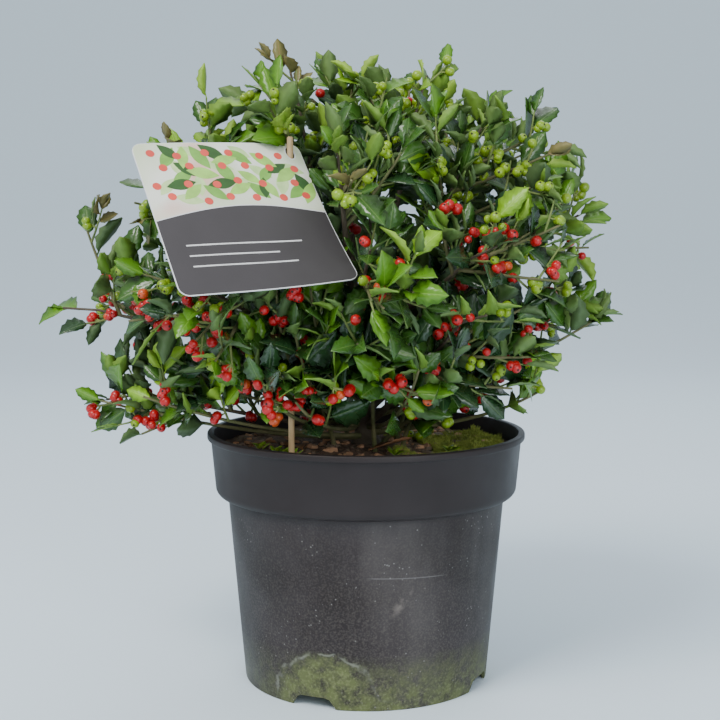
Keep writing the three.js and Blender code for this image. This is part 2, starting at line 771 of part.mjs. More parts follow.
function leafWay(root, way, atTip, [tilt, swing]) {
  const outward = root[1].clone().sub(root[0]).cross(root[2].clone().sub(root[0])).normalize();
  const angle = radians(atTip ? tilt : leaf.angle + tilt);
  const side = atTip ? up.clone().cross(way) : outward;
  side.addScaledVector(way, -side.dot(way)).normalize().applyAxisAngle(way, radians(swing));
  const along = way.clone().multiplyScalar(Math.cos(angle)).addScaledVector(side, Math.sin(angle));
  return along.addScaledVector(up, atTip ? 0 : leaf.lift).normalize();
}

// A leaf that fits its root and keeps clear of all that is there, or nothing. It faces up and out
// of the crown, turned to one side or the other.
function fittingLeaf(limb, root, way, atTip, taken, crosses) {
  const facing = root[0].clone().sub(heart).normalize().multiplyScalar(0.8).add(up);
  facing.applyAxisAngle(way, radians(leaf.roll * (taken.length % 2 ? 1 : -1)));
  for (const size of leafSizes) {
    for (const turns of leafTurns) {
      const along = leafWay(root, way, atTip, turns);
      const form = leafForm(root, along, along.clone().cross(facing).normalize(), size);
      if (!opensCleanly(form, along)) continue;
      if (!samplesOf(form).every((point) => allowed(limb, point, clearance.leaf))) continue;
      const whole = closedForm(form);
      if (fixed.some((other) => touching(whole, other))) continue;
      const outerRoot = root.map((point, n) => midway(point, form.points[n + 3], 0.3));
      const blade = closedForm({ ...form, points: [...outerRoot, ...form.points.slice(3)] });
      if (taken.some((other) => touching(blade, other)) || crosses(form)) continue;
      return { ...form, blade };
    }
  }
  return null;
}

function fittingBerry(limb, root, blades, crosses) {
  const form = berryForm(root);
  if (!form.points.slice(3).every((point) => allowed(limb, point, clearance.leaf))) return null;
  const ball = closedForm(form);
  if ([...fixed, ...blades].some((other) => touching(ball, other)) || crosses(form)) return null;
  blades.push(ball);
  return form;
}

// A mass is its stem and twigs, each a skin that its leaves and berries are grafted to, joined.
function massSolid(limb) {
  const [stem, ...sides] = shootsOf(limb);
  const woodOf = (shoot) => skinSolid(bareShoot(shoot, []));
  const shoots = [stem, ...sides.filter((side) => !fixed.some((other) => touching(woodOf(side), other)))];
  const wood = shoots.map(woodOf);
  const blades = [];
  const tip = {};
  let berries = 0;
  const skins = shoots.map((shoot, index) => {
    const growths = [];
    // the shoot's skin with all that grows on it so far, and the tip at a place of its own
    const skinWith = (more) => {
      const grown = [...growths, ...more];
      const used = shoot.nodes.filter((place) => grown.some((growth) => growth.place === place));
      const skin = bareShoot(shoot, used);
      const bareFaces = skin.faces.length;
      for (const { place, corner, form } of grown) {
        graft(skin, place === tip ? tipFace(used) : nodeFace(used, place, corner), form);
      }
      return { ...skin, bareFaces };
    };
    const grow = (root, place, corner, fruiting) => {
      const way = place === tip ? shoot.tipWay : shoot.way;
      const crosses = (form) => {
        const skin = skinWith([{ place, corner, form }]);
        return crossesItself(skin, skin.faces.length - form.faces.length + 1);
      };
      const form = fruiting
        ? fittingBerry(limb, root, blades, crosses)
        : fittingLeaf(limb, root, way, place === tip, [...wood, ...blades], crosses);
      if (form) growths.push({ place, corner, form });
      if (form && !fruiting) blades.push(form.blade);
      return Boolean(form);
    };
    grow(cornersOf(shoot, shoot.length, 0), tip, 0, false);
    for (const place of [...shoot.nodes].reverse()) {
      for (const corner of [0, 1, 2]) {
        const fruiting = corner === index % 3 && berries < berry.perMass && place === shoot.nodes[0];
        if (grow(nodeRoot(shoot, place, corner), place, corner, fruiting) && fruiting) berries += 1;
      }
    }
    return skinSolid(skinWith([]));
  });
  const pieces = skins.reduce((whole, skin) => whole.add(skin)).decompose();
  return pieces.sort((a, b) => b.volume() - a.volume())[0].simplify(finest);
}

// ---------------------------------------------------------------- the whole plant

const plant = new THREE.Group();
plant.name = "potted_holly";
plant.add(meshOf(potSolid(), "pot", potPlastic));
plant.add(meshOf(mixSolid(), "potting_mix", pottingMix));
plant.add(meshOf(mossSolid(), "moss", mossGreen));
plant.add(meshOf(stickSolid(), "label_stick", cane));
plant.add(meshOf(labelSolid(), "label_card", cardFace));
plant.add(meshOf(trunkSolid, "trunk", bark));
for (const { limb, solid } of boughs) plant.add(meshOf(solid, `bough_${limb.name}`, bark));
for (const limb of limbs) plant.add(meshOf(massSolid(limb), `foliage_${limb.name}`, leafGreen));

export default plant;
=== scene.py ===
import math

import bmesh
import bpy
from mathutils import Matrix, Vector, noise
from mathutils.geometry import delaunay_2d_cdt
from mathutils.kdtree import KDTree


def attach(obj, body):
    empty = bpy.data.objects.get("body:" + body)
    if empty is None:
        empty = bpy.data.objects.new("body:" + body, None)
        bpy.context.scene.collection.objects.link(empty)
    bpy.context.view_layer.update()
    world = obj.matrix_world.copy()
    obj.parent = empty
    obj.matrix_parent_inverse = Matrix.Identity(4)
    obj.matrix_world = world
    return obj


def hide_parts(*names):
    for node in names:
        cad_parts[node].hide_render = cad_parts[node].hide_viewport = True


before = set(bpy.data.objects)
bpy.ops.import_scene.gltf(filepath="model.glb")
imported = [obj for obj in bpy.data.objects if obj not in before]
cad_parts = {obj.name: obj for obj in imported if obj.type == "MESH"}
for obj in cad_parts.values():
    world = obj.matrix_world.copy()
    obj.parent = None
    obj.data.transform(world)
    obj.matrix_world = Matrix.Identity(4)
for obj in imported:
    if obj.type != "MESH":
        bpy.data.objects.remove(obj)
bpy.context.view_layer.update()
mm = 0.001
upward = Vector((0, 0, 1))
goldenAngle = math.pi * (3 - math.sqrt(5))


# every size below is in millimetres, and turns into metres here
def addMesh(name, points, faces, scale=mm, edges=()):
    mesh = bpy.data.meshes.new(name)
    mesh.from_pydata([tuple(Vector(p) * scale) for p in points], edges, faces)
    mesh.update()
    piece = bpy.data.objects.new(name, mesh)
    bpy.context.scene.collection.objects.link(piece)
    return piece


# the faces turned to look outward
def turnedOut(piece):
    work = bmesh.new()
    work.from_mesh(piece.data)
    bmesh.ops.recalc_face_normals(work, faces=work.faces)
    work.to_mesh(piece.data)
    work.free()
    return piece


def setOn(piece, name, kind, domain, values):
    key = "vector" if kind == "FLOAT_VECTOR" else "value"
    piece.data.attributes.new(name, kind, domain).data.foreach_set(key, values)


def smooth(piece, angle=None):
    piece.data.polygons.foreach_set("use_smooth", [True] * len(piece.data.polygons))
    if angle:
        piece.data.set_sharp_from_angle(angle=math.radians(angle))
    return piece


# the shape that the modifiers make, as a plain mesh
def settled(piece):
    bpy.context.view_layer.update()
    shaped = piece.evaluated_get(bpy.context.evaluated_depsgraph_get())
    mesh = bpy.data.meshes.new_from_object(shaped)
    piece.modifiers.clear()
    piece.data = mesh
    mesh.name = piece.name
    return piece


def placed(piece, nodes):
    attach(piece, "root")
    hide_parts(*nodes)
    return piece


# a piece of one finish, shaded smooth up to an angle, and declared
def finished(piece, material, angle, nodes):
    piece.data.materials.clear()
    piece.data.materials.append(material)
    return placed(smooth(piece, angle), nodes)


def seededRandom(seed):
    state = [(seed * 7919 + 104729) % 2147483647]

    def draw(low=0.0, high=1.0):
        state[0] = (state[0] * 48271) % 2147483647
        return low + (high - low) * state[0] / 2147483647
    return draw


def rotated(vector, axis, angle):
    return Matrix.Rotation(angle, 3, axis) @ vector


# the way square to a shoot that points up, turned round the shoot
def aside(along, turn):
    return rotated(upward.cross(along).normalized(), along, turn)


def lengthOf(points):
    return sum((b - a).length for a, b in zip(points, points[1:]))


# the sides between two rings of points
def ringFaces(low, high, count):
    return [(low + n, low + (n + 1) % count, high + (n + 1) % count, high + n) for n in range(count)]


# adds the nodes of one tree, and joins them
class NodeMaker:
    def __init__(self, tree):
        self.tree = tree

    def feed(self, socket, value):
        if isinstance(value, bpy.types.NodeSocket):
            self.tree.links.new(value, socket)
        else:
            socket.default_value = value

    def add(self, kind, inputs=None, **settings):
        node = self.tree.nodes.new(kind)
        for key, value in settings.items():
            setattr(node, key, value)
        for key, value in (inputs or {}).items():
            self.feed(node.inputs[key], value)
        return node

    def maths(self, operation, first, second=0.0):
        return self.add("ShaderNodeMath", {0: first, 1: second}, operation=operation).outputs[0]

    def times(self, *shares):
        product = shares[-1]
        for share in reversed(shares[:-1]):
            product = self.maths("MULTIPLY", share, product)
        return product

    # how far a value lies from another
    def off(self, value, centre):
        return self.maths("ABSOLUTE", self.maths("SUBTRACT", value, centre))


class Finish(NodeMaker):
    def __init__(self, name, color, roughness):
        self.material = bpy.data.materials.new(name)
        self.material.use_nodes = True
        super().__init__(self.material.node_tree)
        self.shader = self.tree.nodes["Principled BSDF"]
        self.base = self.shader.inputs["Base Color"]
        self.tune({"Base Color": (*color, 1.0), "Roughness": roughness})
        coordinates = self.add("ShaderNodeTexCoord")
        self.place, self.ownUv = coordinates.outputs["Object"], coordinates.outputs["UV"]

    # constants go on the shader's own sockets
    def tune(self, settings):
        for label, value in settings.items():
            self.shader.inputs[label].default_value = value

    def speckle(self, scale, detail=4.0, stretch=None):
        place = self.place
        if stretch:
            place = self.add("ShaderNodeMapping", {"Vector": place, "Scale": stretch}).outputs[0]
        inputs = {"Vector": place, "Scale": scale, "Detail": detail}
        return self.add("ShaderNodeTexNoise", inputs).outputs["Fac"]

    def between(self, value, low, high, start=0.0, end=1.0):
        inputs = {"Value": value, "From Min": low, "From Max": high, "To Min": start, "To Max": end}
        return self.add("ShaderNodeMapRange", inputs).outputs["Result"]

    # a noise, from one of its values to another
    def cloud(self, scale, low, high, end=1.0, detail=4.0, stretch=None, start=0.0):
        return self.between(self.speckle(scale, detail, stretch), low, high, start, end)

    # a second colour over what is there, by its share
    def tint(self, share, color):
        mix = self.add("ShaderNodeMix", data_type="RGBA")
        before = self.base.links[0].from_socket if self.base.links else tuple(self.base.default_value)
        self.feed(mix.inputs[6], before)
        self.feed(mix.inputs[7], (*color, 1.0))
        self.feed(mix.inputs[0], share)
        self.tree.links.new(mix.outputs[2], self.base)
        return self

    def rough(self, value):
        self.feed(self.shader.inputs["Roughness"], value)
        return self

    def bump(self, height, distance, strength=1.0):
        normal = self.shader.inputs["Normal"]
        inputs = {"Height": height, "Distance": distance, "Strength": strength}
        node = self.add("ShaderNodeBump", inputs)
        if normal.links:
            self.tree.links.new(normal.links[0].from_socket, node.inputs["Normal"])
        self.tree.links.new(node.outputs[0], normal)
        return self

    # a noise as relief
    def grain(self, scale, distance, strength, detail=4.0, stretch=None):
        return self.bump(self.speckle(scale, detail, stretch), distance, strength)


veins = {"slope": 0.75, "waves": 44.0, "share": 0.3, "relief": 0.14}


# a leathery upper side with fine veins by the leaf's own UV map
def bladeFinish(name, color, vein, roughness):
    finish = Finish(name, color, roughness)
    sheen = max(0.0, 0.7 - 2 * roughness)
    finish.tune({"Specular IOR Level": 0.5, "Coat Weight": sheen, "Coat Roughness": 0.2})
    split = finish.add("ShaderNodeSeparateXYZ", {"Vector": finish.ownUv})
    across = finish.times(finish.off(split.outputs[0], 0.5), veins["slope"])
    along = finish.maths("SUBTRACT", split.outputs[1], across)
    wave = finish.maths("SINE", finish.times(along, veins["waves"]))
    finish.tint(finish.between(wave, 0.8, 1.0, 0.0, veins["share"]), vein)
    finish.tint(finish.cloud(60.0, 0.45, 0.8, 0.3, 3.0), [c * 1.6 for c in color])
    finish.bump(wave, 0.0002, veins["relief"])
    finish.grain(420.0, 0.0002, 0.25, 2.0)
    finish.rough(finish.cloud(90.0, 0.3, 0.7, roughness + 0.12, 2.0, start=roughness - 0.06))
    return finish.material


def mottledFinish(name, color, roughness, share=0.3, scale=150.0, lift=2.0):
    finish = Finish(name, color, roughness)
    finish.tint(finish.cloud(scale, 0.35, 0.7, share), [min(1, c * lift) for c in color])
    return finish.grain(scale * 3, 0.0002, 0.5).material


leafColors = {
    # upper side, veins, underside, roughness
    "dark": ((0.015, 0.048, 0.014), (0.036, 0.085, 0.022), (0.060, 0.110, 0.034), 0.22),
    "deep": ((0.033, 0.098, 0.011), (0.065, 0.150, 0.020), (0.090, 0.160, 0.036), 0.25),
    "fresh": ((0.078, 0.205, 0.006), (0.125, 0.270, 0.018), (0.125, 0.235, 0.024), 0.31),
    "young": ((0.160, 0.325, 0.008), (0.225, 0.400, 0.026), (0.205, 0.345, 0.030), 0.38),
    "bronze": ((0.125, 0.120, 0.026), (0.240, 0.110, 0.045), (0.150, 0.130, 0.040), 0.38),
}
leafFinishes = {}
for tint, (blade, vein, under, gloss) in leafColors.items():
    rib = [0.5 * a + 0.5 * b for a, b in zip(vein, under)]
    leafFinishes[tint] = (
        bladeFinish("leafBlade_" + tint, blade, vein, gloss),
        mottledFinish("leafRib_" + tint, rib, 0.45),
        mottledFinish("leafBack_" + tint, under, 0.6),
    )
print("materials of the leaves are ready")


# how the crown grows: the same limbs, spaces and twigs as in the solid model
mixHeights = {"edge": 167, "heap": 171, "heapRadius": 20, "slopeRadius": 56}
potMouth = {"height": 180, "lipRadius": 115, "mouthRadius": 110.4}
trunkSizes = {
    "foot": 171.3, "tall": 48, "lean": (-4, 2), "footRadius": 7.4, "topRadius": 4.8, "flare": 4.6,
    "flareShare": 14,
}
stickSizes = {"x": -50.5, "y": -70, "radius": 2.1, "round": 1.6, "top": 387, "foot": 108}
crownSizes = {
    "heart": Vector((-12, 0, 288)), "halfWidth": 188, "halfDepth": 170, "rise": 175, "drop": 116,
    "fringe": 3, "seat": 0.64, "room": 2.5, "tipLeaf": 47,
}
lobes = [
    # azimuth, climb, spread, gain
    (180, 20, 9, 0.15), (177, -6, 10, 0.25), (182, -34, 15, 0.44), (180, 5, 6, -0.08),
    (180, 46, 8, 0.06), (0, 34, 18, 0.07), (0, -3, 8, 0.15), (0, -22, 12, -0.12),
    (75, -10, 14, 0.09), (105, 34, 12, 0.07), (250, 10, 12, 0.05),
]
hollows = [
    # like the lobes, but shown by the finest growth alone
    (182, -47, 8, -0.36), (0, -52, 9, -0.16), (158, 4, 7, -0.20), (180, 3, 6, -0.24), (202, 4, 7, -0.20),
    (-20, 6, 7, -0.12), (0, 6, 6, -0.16), (20, 6, 7, -0.12),
]
rings = [
    # name, count, azimuth, climb, swing, from, fork, radii at the fork and at the mass
    ("low", 8, 178, -19, 11, "trunk", 0.22, 3.1, 2.0),
    ("top", 3, 215, 68, 0, "trunk", 0.8, 3.8, 2.2),
    ("upper", 6, 205, 37, 8, "trunk", 0.6, 3.8, 2.2),
    ("middle", 8, 180, 5, 9, "upper", 0.28, 2.8, 1.9),
]
forkSteps = {"trunk": (0, 0.1, 0.2), "upper": (0, 0.07)}
stray = {"azimuth": 14, "climb": 6, "round": 0.8, "angle": 12}
boughSizes = {"sag": 0.05, "wobble": 7, "shortest": 0.36, "longest": 0.9}
twigSizes = {
    "count": 4, "first": 0.13, "span": 0.8, "length": 60, "shrink": 0.4, "angle": 57,
    "base": 1.6, "tip": 0.75, "lift": 0.16, "shortest": 24, "swings": (0, 50, -50, 100, -100),
}
labelSizes = {
    "width": 117.8, "height": 119.5, "thick": 0.7, "corner": 7, "bow": 1.6, "margin": 0.5,
    "across": (0.868, 0.495, 0.023), "down": (0.331, -0.544, -0.771),
    "slotAcross": 109.5, "slotDown": 8.2, "slotWidth": 6, "slotLength": 10, "slotHeight": 376,
    "curl": 9, "curlFrom": 0.75,
}
heart = crownSizes["heart"]

labelAcross = Vector(labelSizes["across"]).normalized()
labelDown = Vector(labelSizes["down"])
labelDown = (labelDown - labelAcross * labelDown.dot(labelAcross)).normalized()
labelFace = labelDown.cross(labelAcross)
labelCorner = Vector((stickSizes["x"], stickSizes["y"], labelSizes["slotHeight"]))
labelCorner -= labelAcross * labelSizes["slotAcross"] + labelDown * labelSizes["slotDown"]


def direction(azimuth, climb):
    turn, lift = math.radians(azimuth), math.radians(climb)
    return Vector((math.cos(lift) * math.cos(turn), math.cos(lift) * math.sin(turn), math.sin(lift)))


def lobeWays(swellings):
    return [(direction(azimuth, climb), math.radians(spread), gain)
            for azimuth, climb, spread, gain in swellings]


plainLobes, fineLobes = lobeWays(lobes), lobeWays(lobes + hollows)


# how far the crown reaches from its heart
def crownReach(way, fine=False):
    s, share = crownSizes, 1.0
    for lobeWay, spread, gain in fineLobes if fine else plainLobes:
        away = math.acos(max(-1.0, min(1.0, way.dot(lobeWay))))
        share += gain * math.exp(-((away / spread) ** 2))
    tall = s["rise"] if way.z > 0 else s["drop"]
    return share / math.hypot(way.x / s["halfWidth"], way.y / s["halfDepth"], way.z / tall)


# a point's share of the crown's reach on its way
def crownShare(point):
    away = point - heart
    return away.length / crownReach(away.normalized())


def curvePoint(limb, share):
    back = 1 - share
    return limb["start"] * back ** 2 + limb["middle"] * 2 * share * back + limb["tip"] * share ** 2


trunkFoot = Vector((0, 0, trunkSizes["foot"]))
trunkTop = trunkFoot + Vector((*trunkSizes["lean"], trunkSizes["tall"]))


def growLimbs():
    grown = []
    for ring, count, azimuth0, climb0, swing, source, fork, base, end in rings:
        for n in range(count):
            draw = seededRandom(len(grown) + 1)
            azimuth = azimuth0 + 360 / count * n + stray["azimuth"] * (draw() - 0.5)
            climb = climb0 + swing * math.cos(math.radians(azimuth)) + stray["climb"] * (draw() - 0.5)
            way = direction(azimuth, climb)
            reach = crownReach(way)
            share = fork + forkSteps[source][n % len(forkSteps[source])]
            if source == "trunk":
                start = trunkFoot.lerp(trunkTop, share)
            else:
                parents = [other for other in grown if other["ring"] == source]
                start = curvePoint(max(parents, key=lambda other: other["way"].dot(way)), share)
            tip = heart + way * (reach - crownSizes["tipLeaf"])
            middle = start.lerp(tip, 0.5)
            middle.z -= boughSizes["sag"] * (tip - start).length
            middle.x += boughSizes["wobble"] * (draw() - 0.5)
            middle.y += boughSizes["wobble"] * (draw() - 0.5)
            grown.append({
                "name": f"{ring}_{n + 1}", "ring": ring, "way": way, "draw": draw, "start": start,
                "middle": middle, "tip": tip, "base": base, "end": end,
                "seat": heart + way * crownSizes["seat"] * reach,
            })
    return grown


limbs = growLimbs()


def inOwnSpace(limb, point, margin):
    own = (point - limb["seat"]).length_squared
    for other in limbs:
        if other is not limb:
            apart = (other["seat"] - limb["seat"]).length
            if ((point - other["seat"]).length_squared - own) / (2 * apart) <= margin:
                return False
    return True


def inCrown(point, beyond, fine):
    away = point - heart
    return away.length < crownReach(away.normalized(), fine) + beyond


# room that the growth leaves: over the lip, outside it, below it, inside the mouth, over the mix,
# round the stick, past the card's edges and behind the card
room = {"over": 2, "outside": 3, "below": 8, "inside": 12, "mix": 2, "stick": 2.5, "card": 2, "behind": 6}


def clearOfPot(point):
    out = math.hypot(point.x, point.y)
    past = out > potMouth["lipRadius"] + room["outside"] and point.z > mixHeights["edge"] - room["below"]
    within = out < potMouth["mouthRadius"] - room["inside"] and point.z > mixHeights["heap"] + room["mix"]
    return point.z > potMouth["height"] + room["over"] or past or within


def clearOfLabel(point):
    fromStick = math.hypot(point.x - stickSizes["x"], point.y - stickSizes["y"])
    offset = point - labelCorner
    ahead = -offset.dot(labelFace) / labelFace.y
    offset.y += ahead
    edge = room["card"]
    over = -edge < offset.dot(labelAcross) < labelSizes["width"] + edge
    over = over and -edge < offset.dot(labelDown) < labelSizes["height"] + edge
    return fromStick > stickSizes["radius"] + room["stick"] and not (over and ahead > -room["behind"])


def fits(point, beyond, fine=True):
    return inCrown(point, beyond, fine) and clearOfPot(point) and clearOfLabel(point)


def growTwigs(limb):
    twigs, draw = [], limb["draw"]
    along = (limb["tip"] - limb["stemStart"]).normalized()
    for n in range(twigSizes["count"]):
        step = n / twigSizes["count"]
        start = limb["stemStart"].lerp(limb["tip"], twigSizes["first"] + twigSizes["span"] * step)
        turn = n * goldenAngle + stray["round"] * draw()
        angle = math.radians(twigSizes["angle"] + stray["angle"] * (draw() - 0.5))
        full = twigSizes["length"] * (1.05 - twigSizes["shrink"] * step)
        best = {"length": twigSizes["shortest"]}
        for swing in twigSizes["swings"]:
            side = aside(along, turn + math.radians(swing))
            way = along * math.cos(angle) + side * math.sin(angle) + upward * twigSizes["lift"]
            way.normalize()

            def reaches(far):
                point = start + way * far
                return fits(point, crownSizes["fringe"], False) and inOwnSpace(limb, point, 3)
            length = full
            while length > best["length"]:
                if reaches(length) and reaches(length + 0.7 * crownSizes["tipLeaf"]):
                    break
                length -= 2
            if length > best["length"]:
                best = {"start": start, "way": way, "length": length}
            if length > 0.6 * full:
                break
        if "way" in best:
            twigs.append(best)
    return twigs


# from here on the crown is finer than the solid model: curved shoots, and leaves of their real size
fineSizes = {
    "stemMore": 26, "twigMore": 22, "spacing": 15, "first": 9, "last": 6, "length": 34, "shrink": 0.3,
    "angle": 50, "lift": 0.12, "rise": 0.3, "sway": 0.12, "step": 12, "base": 1.0, "tip": 0.55,
    "shortest": 10, "fringe": 4, "leafRoom": 16,
}
grow = seededRandom(71)


def anyOffset(share):
    return Vector((grow(-1, 1), grow(-1, 1), grow(-1, 1))) * share


def bentShoot(start, way, length, base, tip, kind, rise):
    steps = max(3, round(length / fineSizes["step"]))
    points, heading = [start.copy()], way.normalized()
    sway = anyOffset(fineSizes["sway"])
    for n in range(steps):
        heading = (heading + (upward * rise + sway) / steps).normalized()
        points.append(points[-1] + heading * (length / steps))
    return {"points": points, "length": length, "base": base, "tip": tip, "kind": kind}


# the point at a distance along a shoot, and the way it runs there
def alongShoot(shoot, at):
    points = shoot["points"]
    for before, after in zip(points, points[1:]):
        step = (after - before).length
        if at <= step or after is points[-1]:
            return before.lerp(after, min(1.0, at / step)), (after - before).normalized()
        at -= step


def growSides(parent):
    s, sides, n = fineSizes, [], 0
    at = s["first"] * grow(0.7, 1.3)
    while at < parent["length"] - s["last"]:
        point, along = alongShoot(parent, at)
        side = aside(along, n * goldenAngle + grow(0, 0.7))
        angle = math.radians(s["angle"] + grow(-9, 9))
        way = (along * math.cos(angle) + side * math.sin(angle) + upward * s["lift"]).normalized()
        length = s["length"] * (1 - s["shrink"] * at / parent["length"]) * grow(0.75, 1.2)
        while length > s["shortest"] and not fits(point + way * (length + s["leafRoom"]), s["fringe"]):
            length -= 3
        if length > s["shortest"]:
            shoot = bentShoot(point, way, length, s["base"], s["tip"], "shoot", s["rise"])
            if fits(shoot["points"][-1], s["fringe"]):
                sides.append(shoot)
        at += s["spacing"] * grow(0.8, 1.25)
        n += 1
    return sides


# short leafy spurs on the outer half of a bare bough
spurSizes = {"from": 0.5, "spacing": 26, "shortest": 14, "longest": 26, "base": 0.9, "tip": 0.55, "room": 30}


def growSpurs(bough):
    s, spurs = spurSizes, []
    at = bough["length"] * s["from"]
    while at < bough["length"] - fineSizes["last"]:
        point, along = alongShoot(bough, at)
        way = (along * 0.6 + aside(along, grow(0, 2 * math.pi)) * 0.8 + upward * 0.2).normalized()
        if fits(point + way * s["room"], 0):
            length = grow(s["shortest"], s["longest"])
            spurs.append(bentShoot(point, way, length, s["base"], s["tip"], "shoot", fineSizes["rise"]))
        at += s["spacing"] * grow(0.8, 1.3)
    return spurs


for limb in limbs:
    share = boughSizes["longest"]
    while share > boughSizes["shortest"] and inOwnSpace(
            limb, curvePoint(limb, share - 0.01), crownSizes["room"]):
        share -= 0.01
    limb["gate"] = share
    limb["stemStart"] = curvePoint(limb, share)

# low thin stems from the plant's foot: start, middle, tip, share of the length that bears leaves, tint
lowStems = [
    ((-5, -5, 175), (-86, -16, 176), (-190, -16, 203), 0.42, "fresh"),
    ((-4, -10, 177), (-75, -44, 182), (-152, -62, 212), 0.45, "young"),
    ((-8, 0, 182), (-60, -30, 196), (-122, -52, 228), 0.5, None),
    ((6, -6, 178), (70, -30, 190), (100, -38, 232), 0.55, None),
    ((5, -8, 180), (82, -24, 186), (122, -42, 214), 0.35, "young"),
    ((5, -5, 190), (88, -26, 216), (163, -20, 262), 0.55, None),
    ((-6, -18, 186), (-36, -90, 196), (-46, -112, 262), 0.7, None),
    ((-8, -14, 184), (-52, -84, 190), (-68, -106, 226), 0.7, None),
    ((-8, -16, 184), (-30, -84, 188), (-46, -102, 214), 0.6, "deep"),
    ((-6, -14, 186), (-56, -92, 210), (-58, -106, 288), 0.6, "deep"),
    ((-6, -14, 186), (-30, -96, 220), (-36, -110, 292), 0.6, "fresh"),
    ((2, -16, 184), (24, -80, 192), (34, -112, 236), 0.6, None),
    ((25, -19, 164), (31, -26, 205), (64, -66, 256), 0.55, None),
    ((-22, -15, 164), (-25, -30, 206), (-70, -62, 262), 0.5, None),
    ((7, -31, 164), (2, -44, 208), (8, -96, 268), 0.5, None),
    ((-13, 24, 164), (-18, 34, 210), (-48, 84, 260), 0.5, None),
    ((22, 20, 164), (30, 28, 208), (70, 66, 258), 0.5, None),
    ((9, -14, 168), (34, -36, 208), (57, -58, 187), 0.55, "fresh"),
]

woods, shoots = [], []
for start, middle, tip, leafy, tint in lowStems:
    curve = {"start": Vector(start), "middle": Vector(middle), "tip": Vector(tip)}
    points = [curvePoint(curve, n / 12) for n in range(13)]
    woods.append({"points": points, "base": 1.9, "tip": 0.8, "kind": "twig"})
    outer = points[round(12 * (1 - leafy)):]
    stem = {"points": outer, "length": lengthOf(outer), "kind": "twig", "tint": tint}
    shoots.append(stem)
    shoots += [{**side, "tint": tint} for side in growSides(stem)]
for limb in limbs:
    bough = [curvePoint(limb, limb["gate"] * n / 10) for n in range(11)]
    stemWay = (limb["tip"] - limb["stemStart"]).normalized()
    stemLength = (limb["tip"] - limb["stemStart"]).length
    stem = [limb["stemStart"] + stemWay * stemLength * n / 5 for n in range(6)]
    stem.append(limb["tip"] + (stemWay + limb["way"]).normalized() * fineSizes["stemMore"])
    woods.append({"points": bough + stem[1:], "base": limb["base"], "tip": 0.8, "kind": "limb"})
    parents = [{"points": stem, "kind": "stem", "length": stemLength + fineSizes["stemMore"]}]
    for twig in growTwigs(limb):
        start, way, more = twig["start"], twig["way"], fineSizes["twigMore"]
        while more > 0 and not fits(start + way * (twig["length"] + more + 12), fineSizes["fringe"]):
            more -= 4
        length = twig["length"] + max(0, more)
        parents.append(bentShoot(start, way, length, twigSizes["base"], twigSizes["tip"], "twig", 0.1))
    woods += parents[1:]
    shoots += parents
    for parent in parents:
        shoots += growSides(parent)
    shoots += growSpurs({"points": bough, "length": lengthOf(bough)})
print(f"{len(limbs)} limbs, {len(woods)} woody lengths, {len(shoots)} shoots")


# leaves and berries: (place, along, facing, size, tint)
leaves, berries = [], []
berrySizes = {
    "radius": 3.45, "outer": 0.85, "inner": 0.25, "outside": 0.74, "most": 4.6, "shortest": 14,
    "spread": 0.8, "redBelow": 322, "redShare": 0.6, "redAbove": 0.02, "orangeShare": 0.08,
    "reach": 12, "centre": 9, "ahead": 9, "window": 11,
}


def fruitShoot(shoot):
    s = berrySizes
    where = "outer" if crownShare(shoot["points"][-1]) > s["outside"] else "inner"
    if grow() > s[where] or shoot["length"] < s["shortest"]:
        return
    origin, along = alongShoot(shoot, shoot["length"] * grow(0.3, 0.75))
    cluster = aside(along, grow(0, 2 * math.pi)) + (origin - heart).normalized() * s["spread"]
    redShare = s["redShare" if origin.z < s["redBelow"] else "redAbove"]
    ripe = "red" if grow() < redShare else "green"
    for n in range(1 + int(grow(0, s["most"]))):
        way = (cluster + anyOffset(s["spread"])).normalized()
        if fits(origin + way * s["reach"], fineSizes["fringe"]):
            tint = "orange" if ripe == "red" and grow() < s["orangeShare"] else ripe
            berries.append((origin, way, way.orthogonal().normalized(), grow(0.82, 1.12), tint))


for shoot in shoots:
    fruitShoot(shoot)

# leaves keep out of the way before each berry
windows = KDTree(len(berries))
for n, berry in enumerate(berries):
    centre = berry[0] + berry[1] * berrySizes["centre"]
    windows.insert(centre + (centre - heart).normalized() * berrySizes["ahead"], n)
windows.balance()
# the newest sprays are reddish: near these places across and up, and here and there high in the crown
bronzeSprays = {
    "places": [(-53, 441), (-184, 336), (-131, 398)], "reach": 17, "before": 40, "above": 320,
    "outside": 0.75, "share": 0.07,
}
sprayLight = {"outside": 0.55, "up": 0.32, "foot": 190, "tall": 260, "chance": 0.28}
tintLights = {"young": 0.85, "fresh": 0.66, "deep": 0.42}
olderTint = {"young": "fresh", "fresh": "deep", "deep": "dark", "dark": "dark", "bronze": "deep"}


# the shade of a whole spray: old and dark inside, fresh and young outside and above
def sprayTint(tip):
    s, share = bronzeSprays, crownShare(tip)
    up = (tip.z - sprayLight["foot"]) / sprayLight["tall"]
    light = sprayLight["outside"] * share + sprayLight["up"] * up
    light += grow(-sprayLight["chance"], sprayLight["chance"])
    nearest = min(math.hypot(tip.x - x, tip.z - z) for x, z in s["places"])
    high = share > s["outside"] and tip.z > s["above"]
    if grow() < s["share"] and high or tip.y < s["before"] and nearest < s["reach"]:
        return "bronze"
    for tint, least in tintLights.items():
        if light > least:
            return tint
    return "dark"


leafSizes = {
    "length": 29, "first": 0.72, "more": 0.07, "bronze": 0.75, "closed": 1.6, "spacing": 8.4,
    "angle": 56, "lift": 0.1, "fringe": 7, "middle": 6, "bare": 5, "twigBare": 8, "stemBare": 0.2,
    "young": 4, "fresh": 9, "oddShare": 0.12, "turn": 70,
}


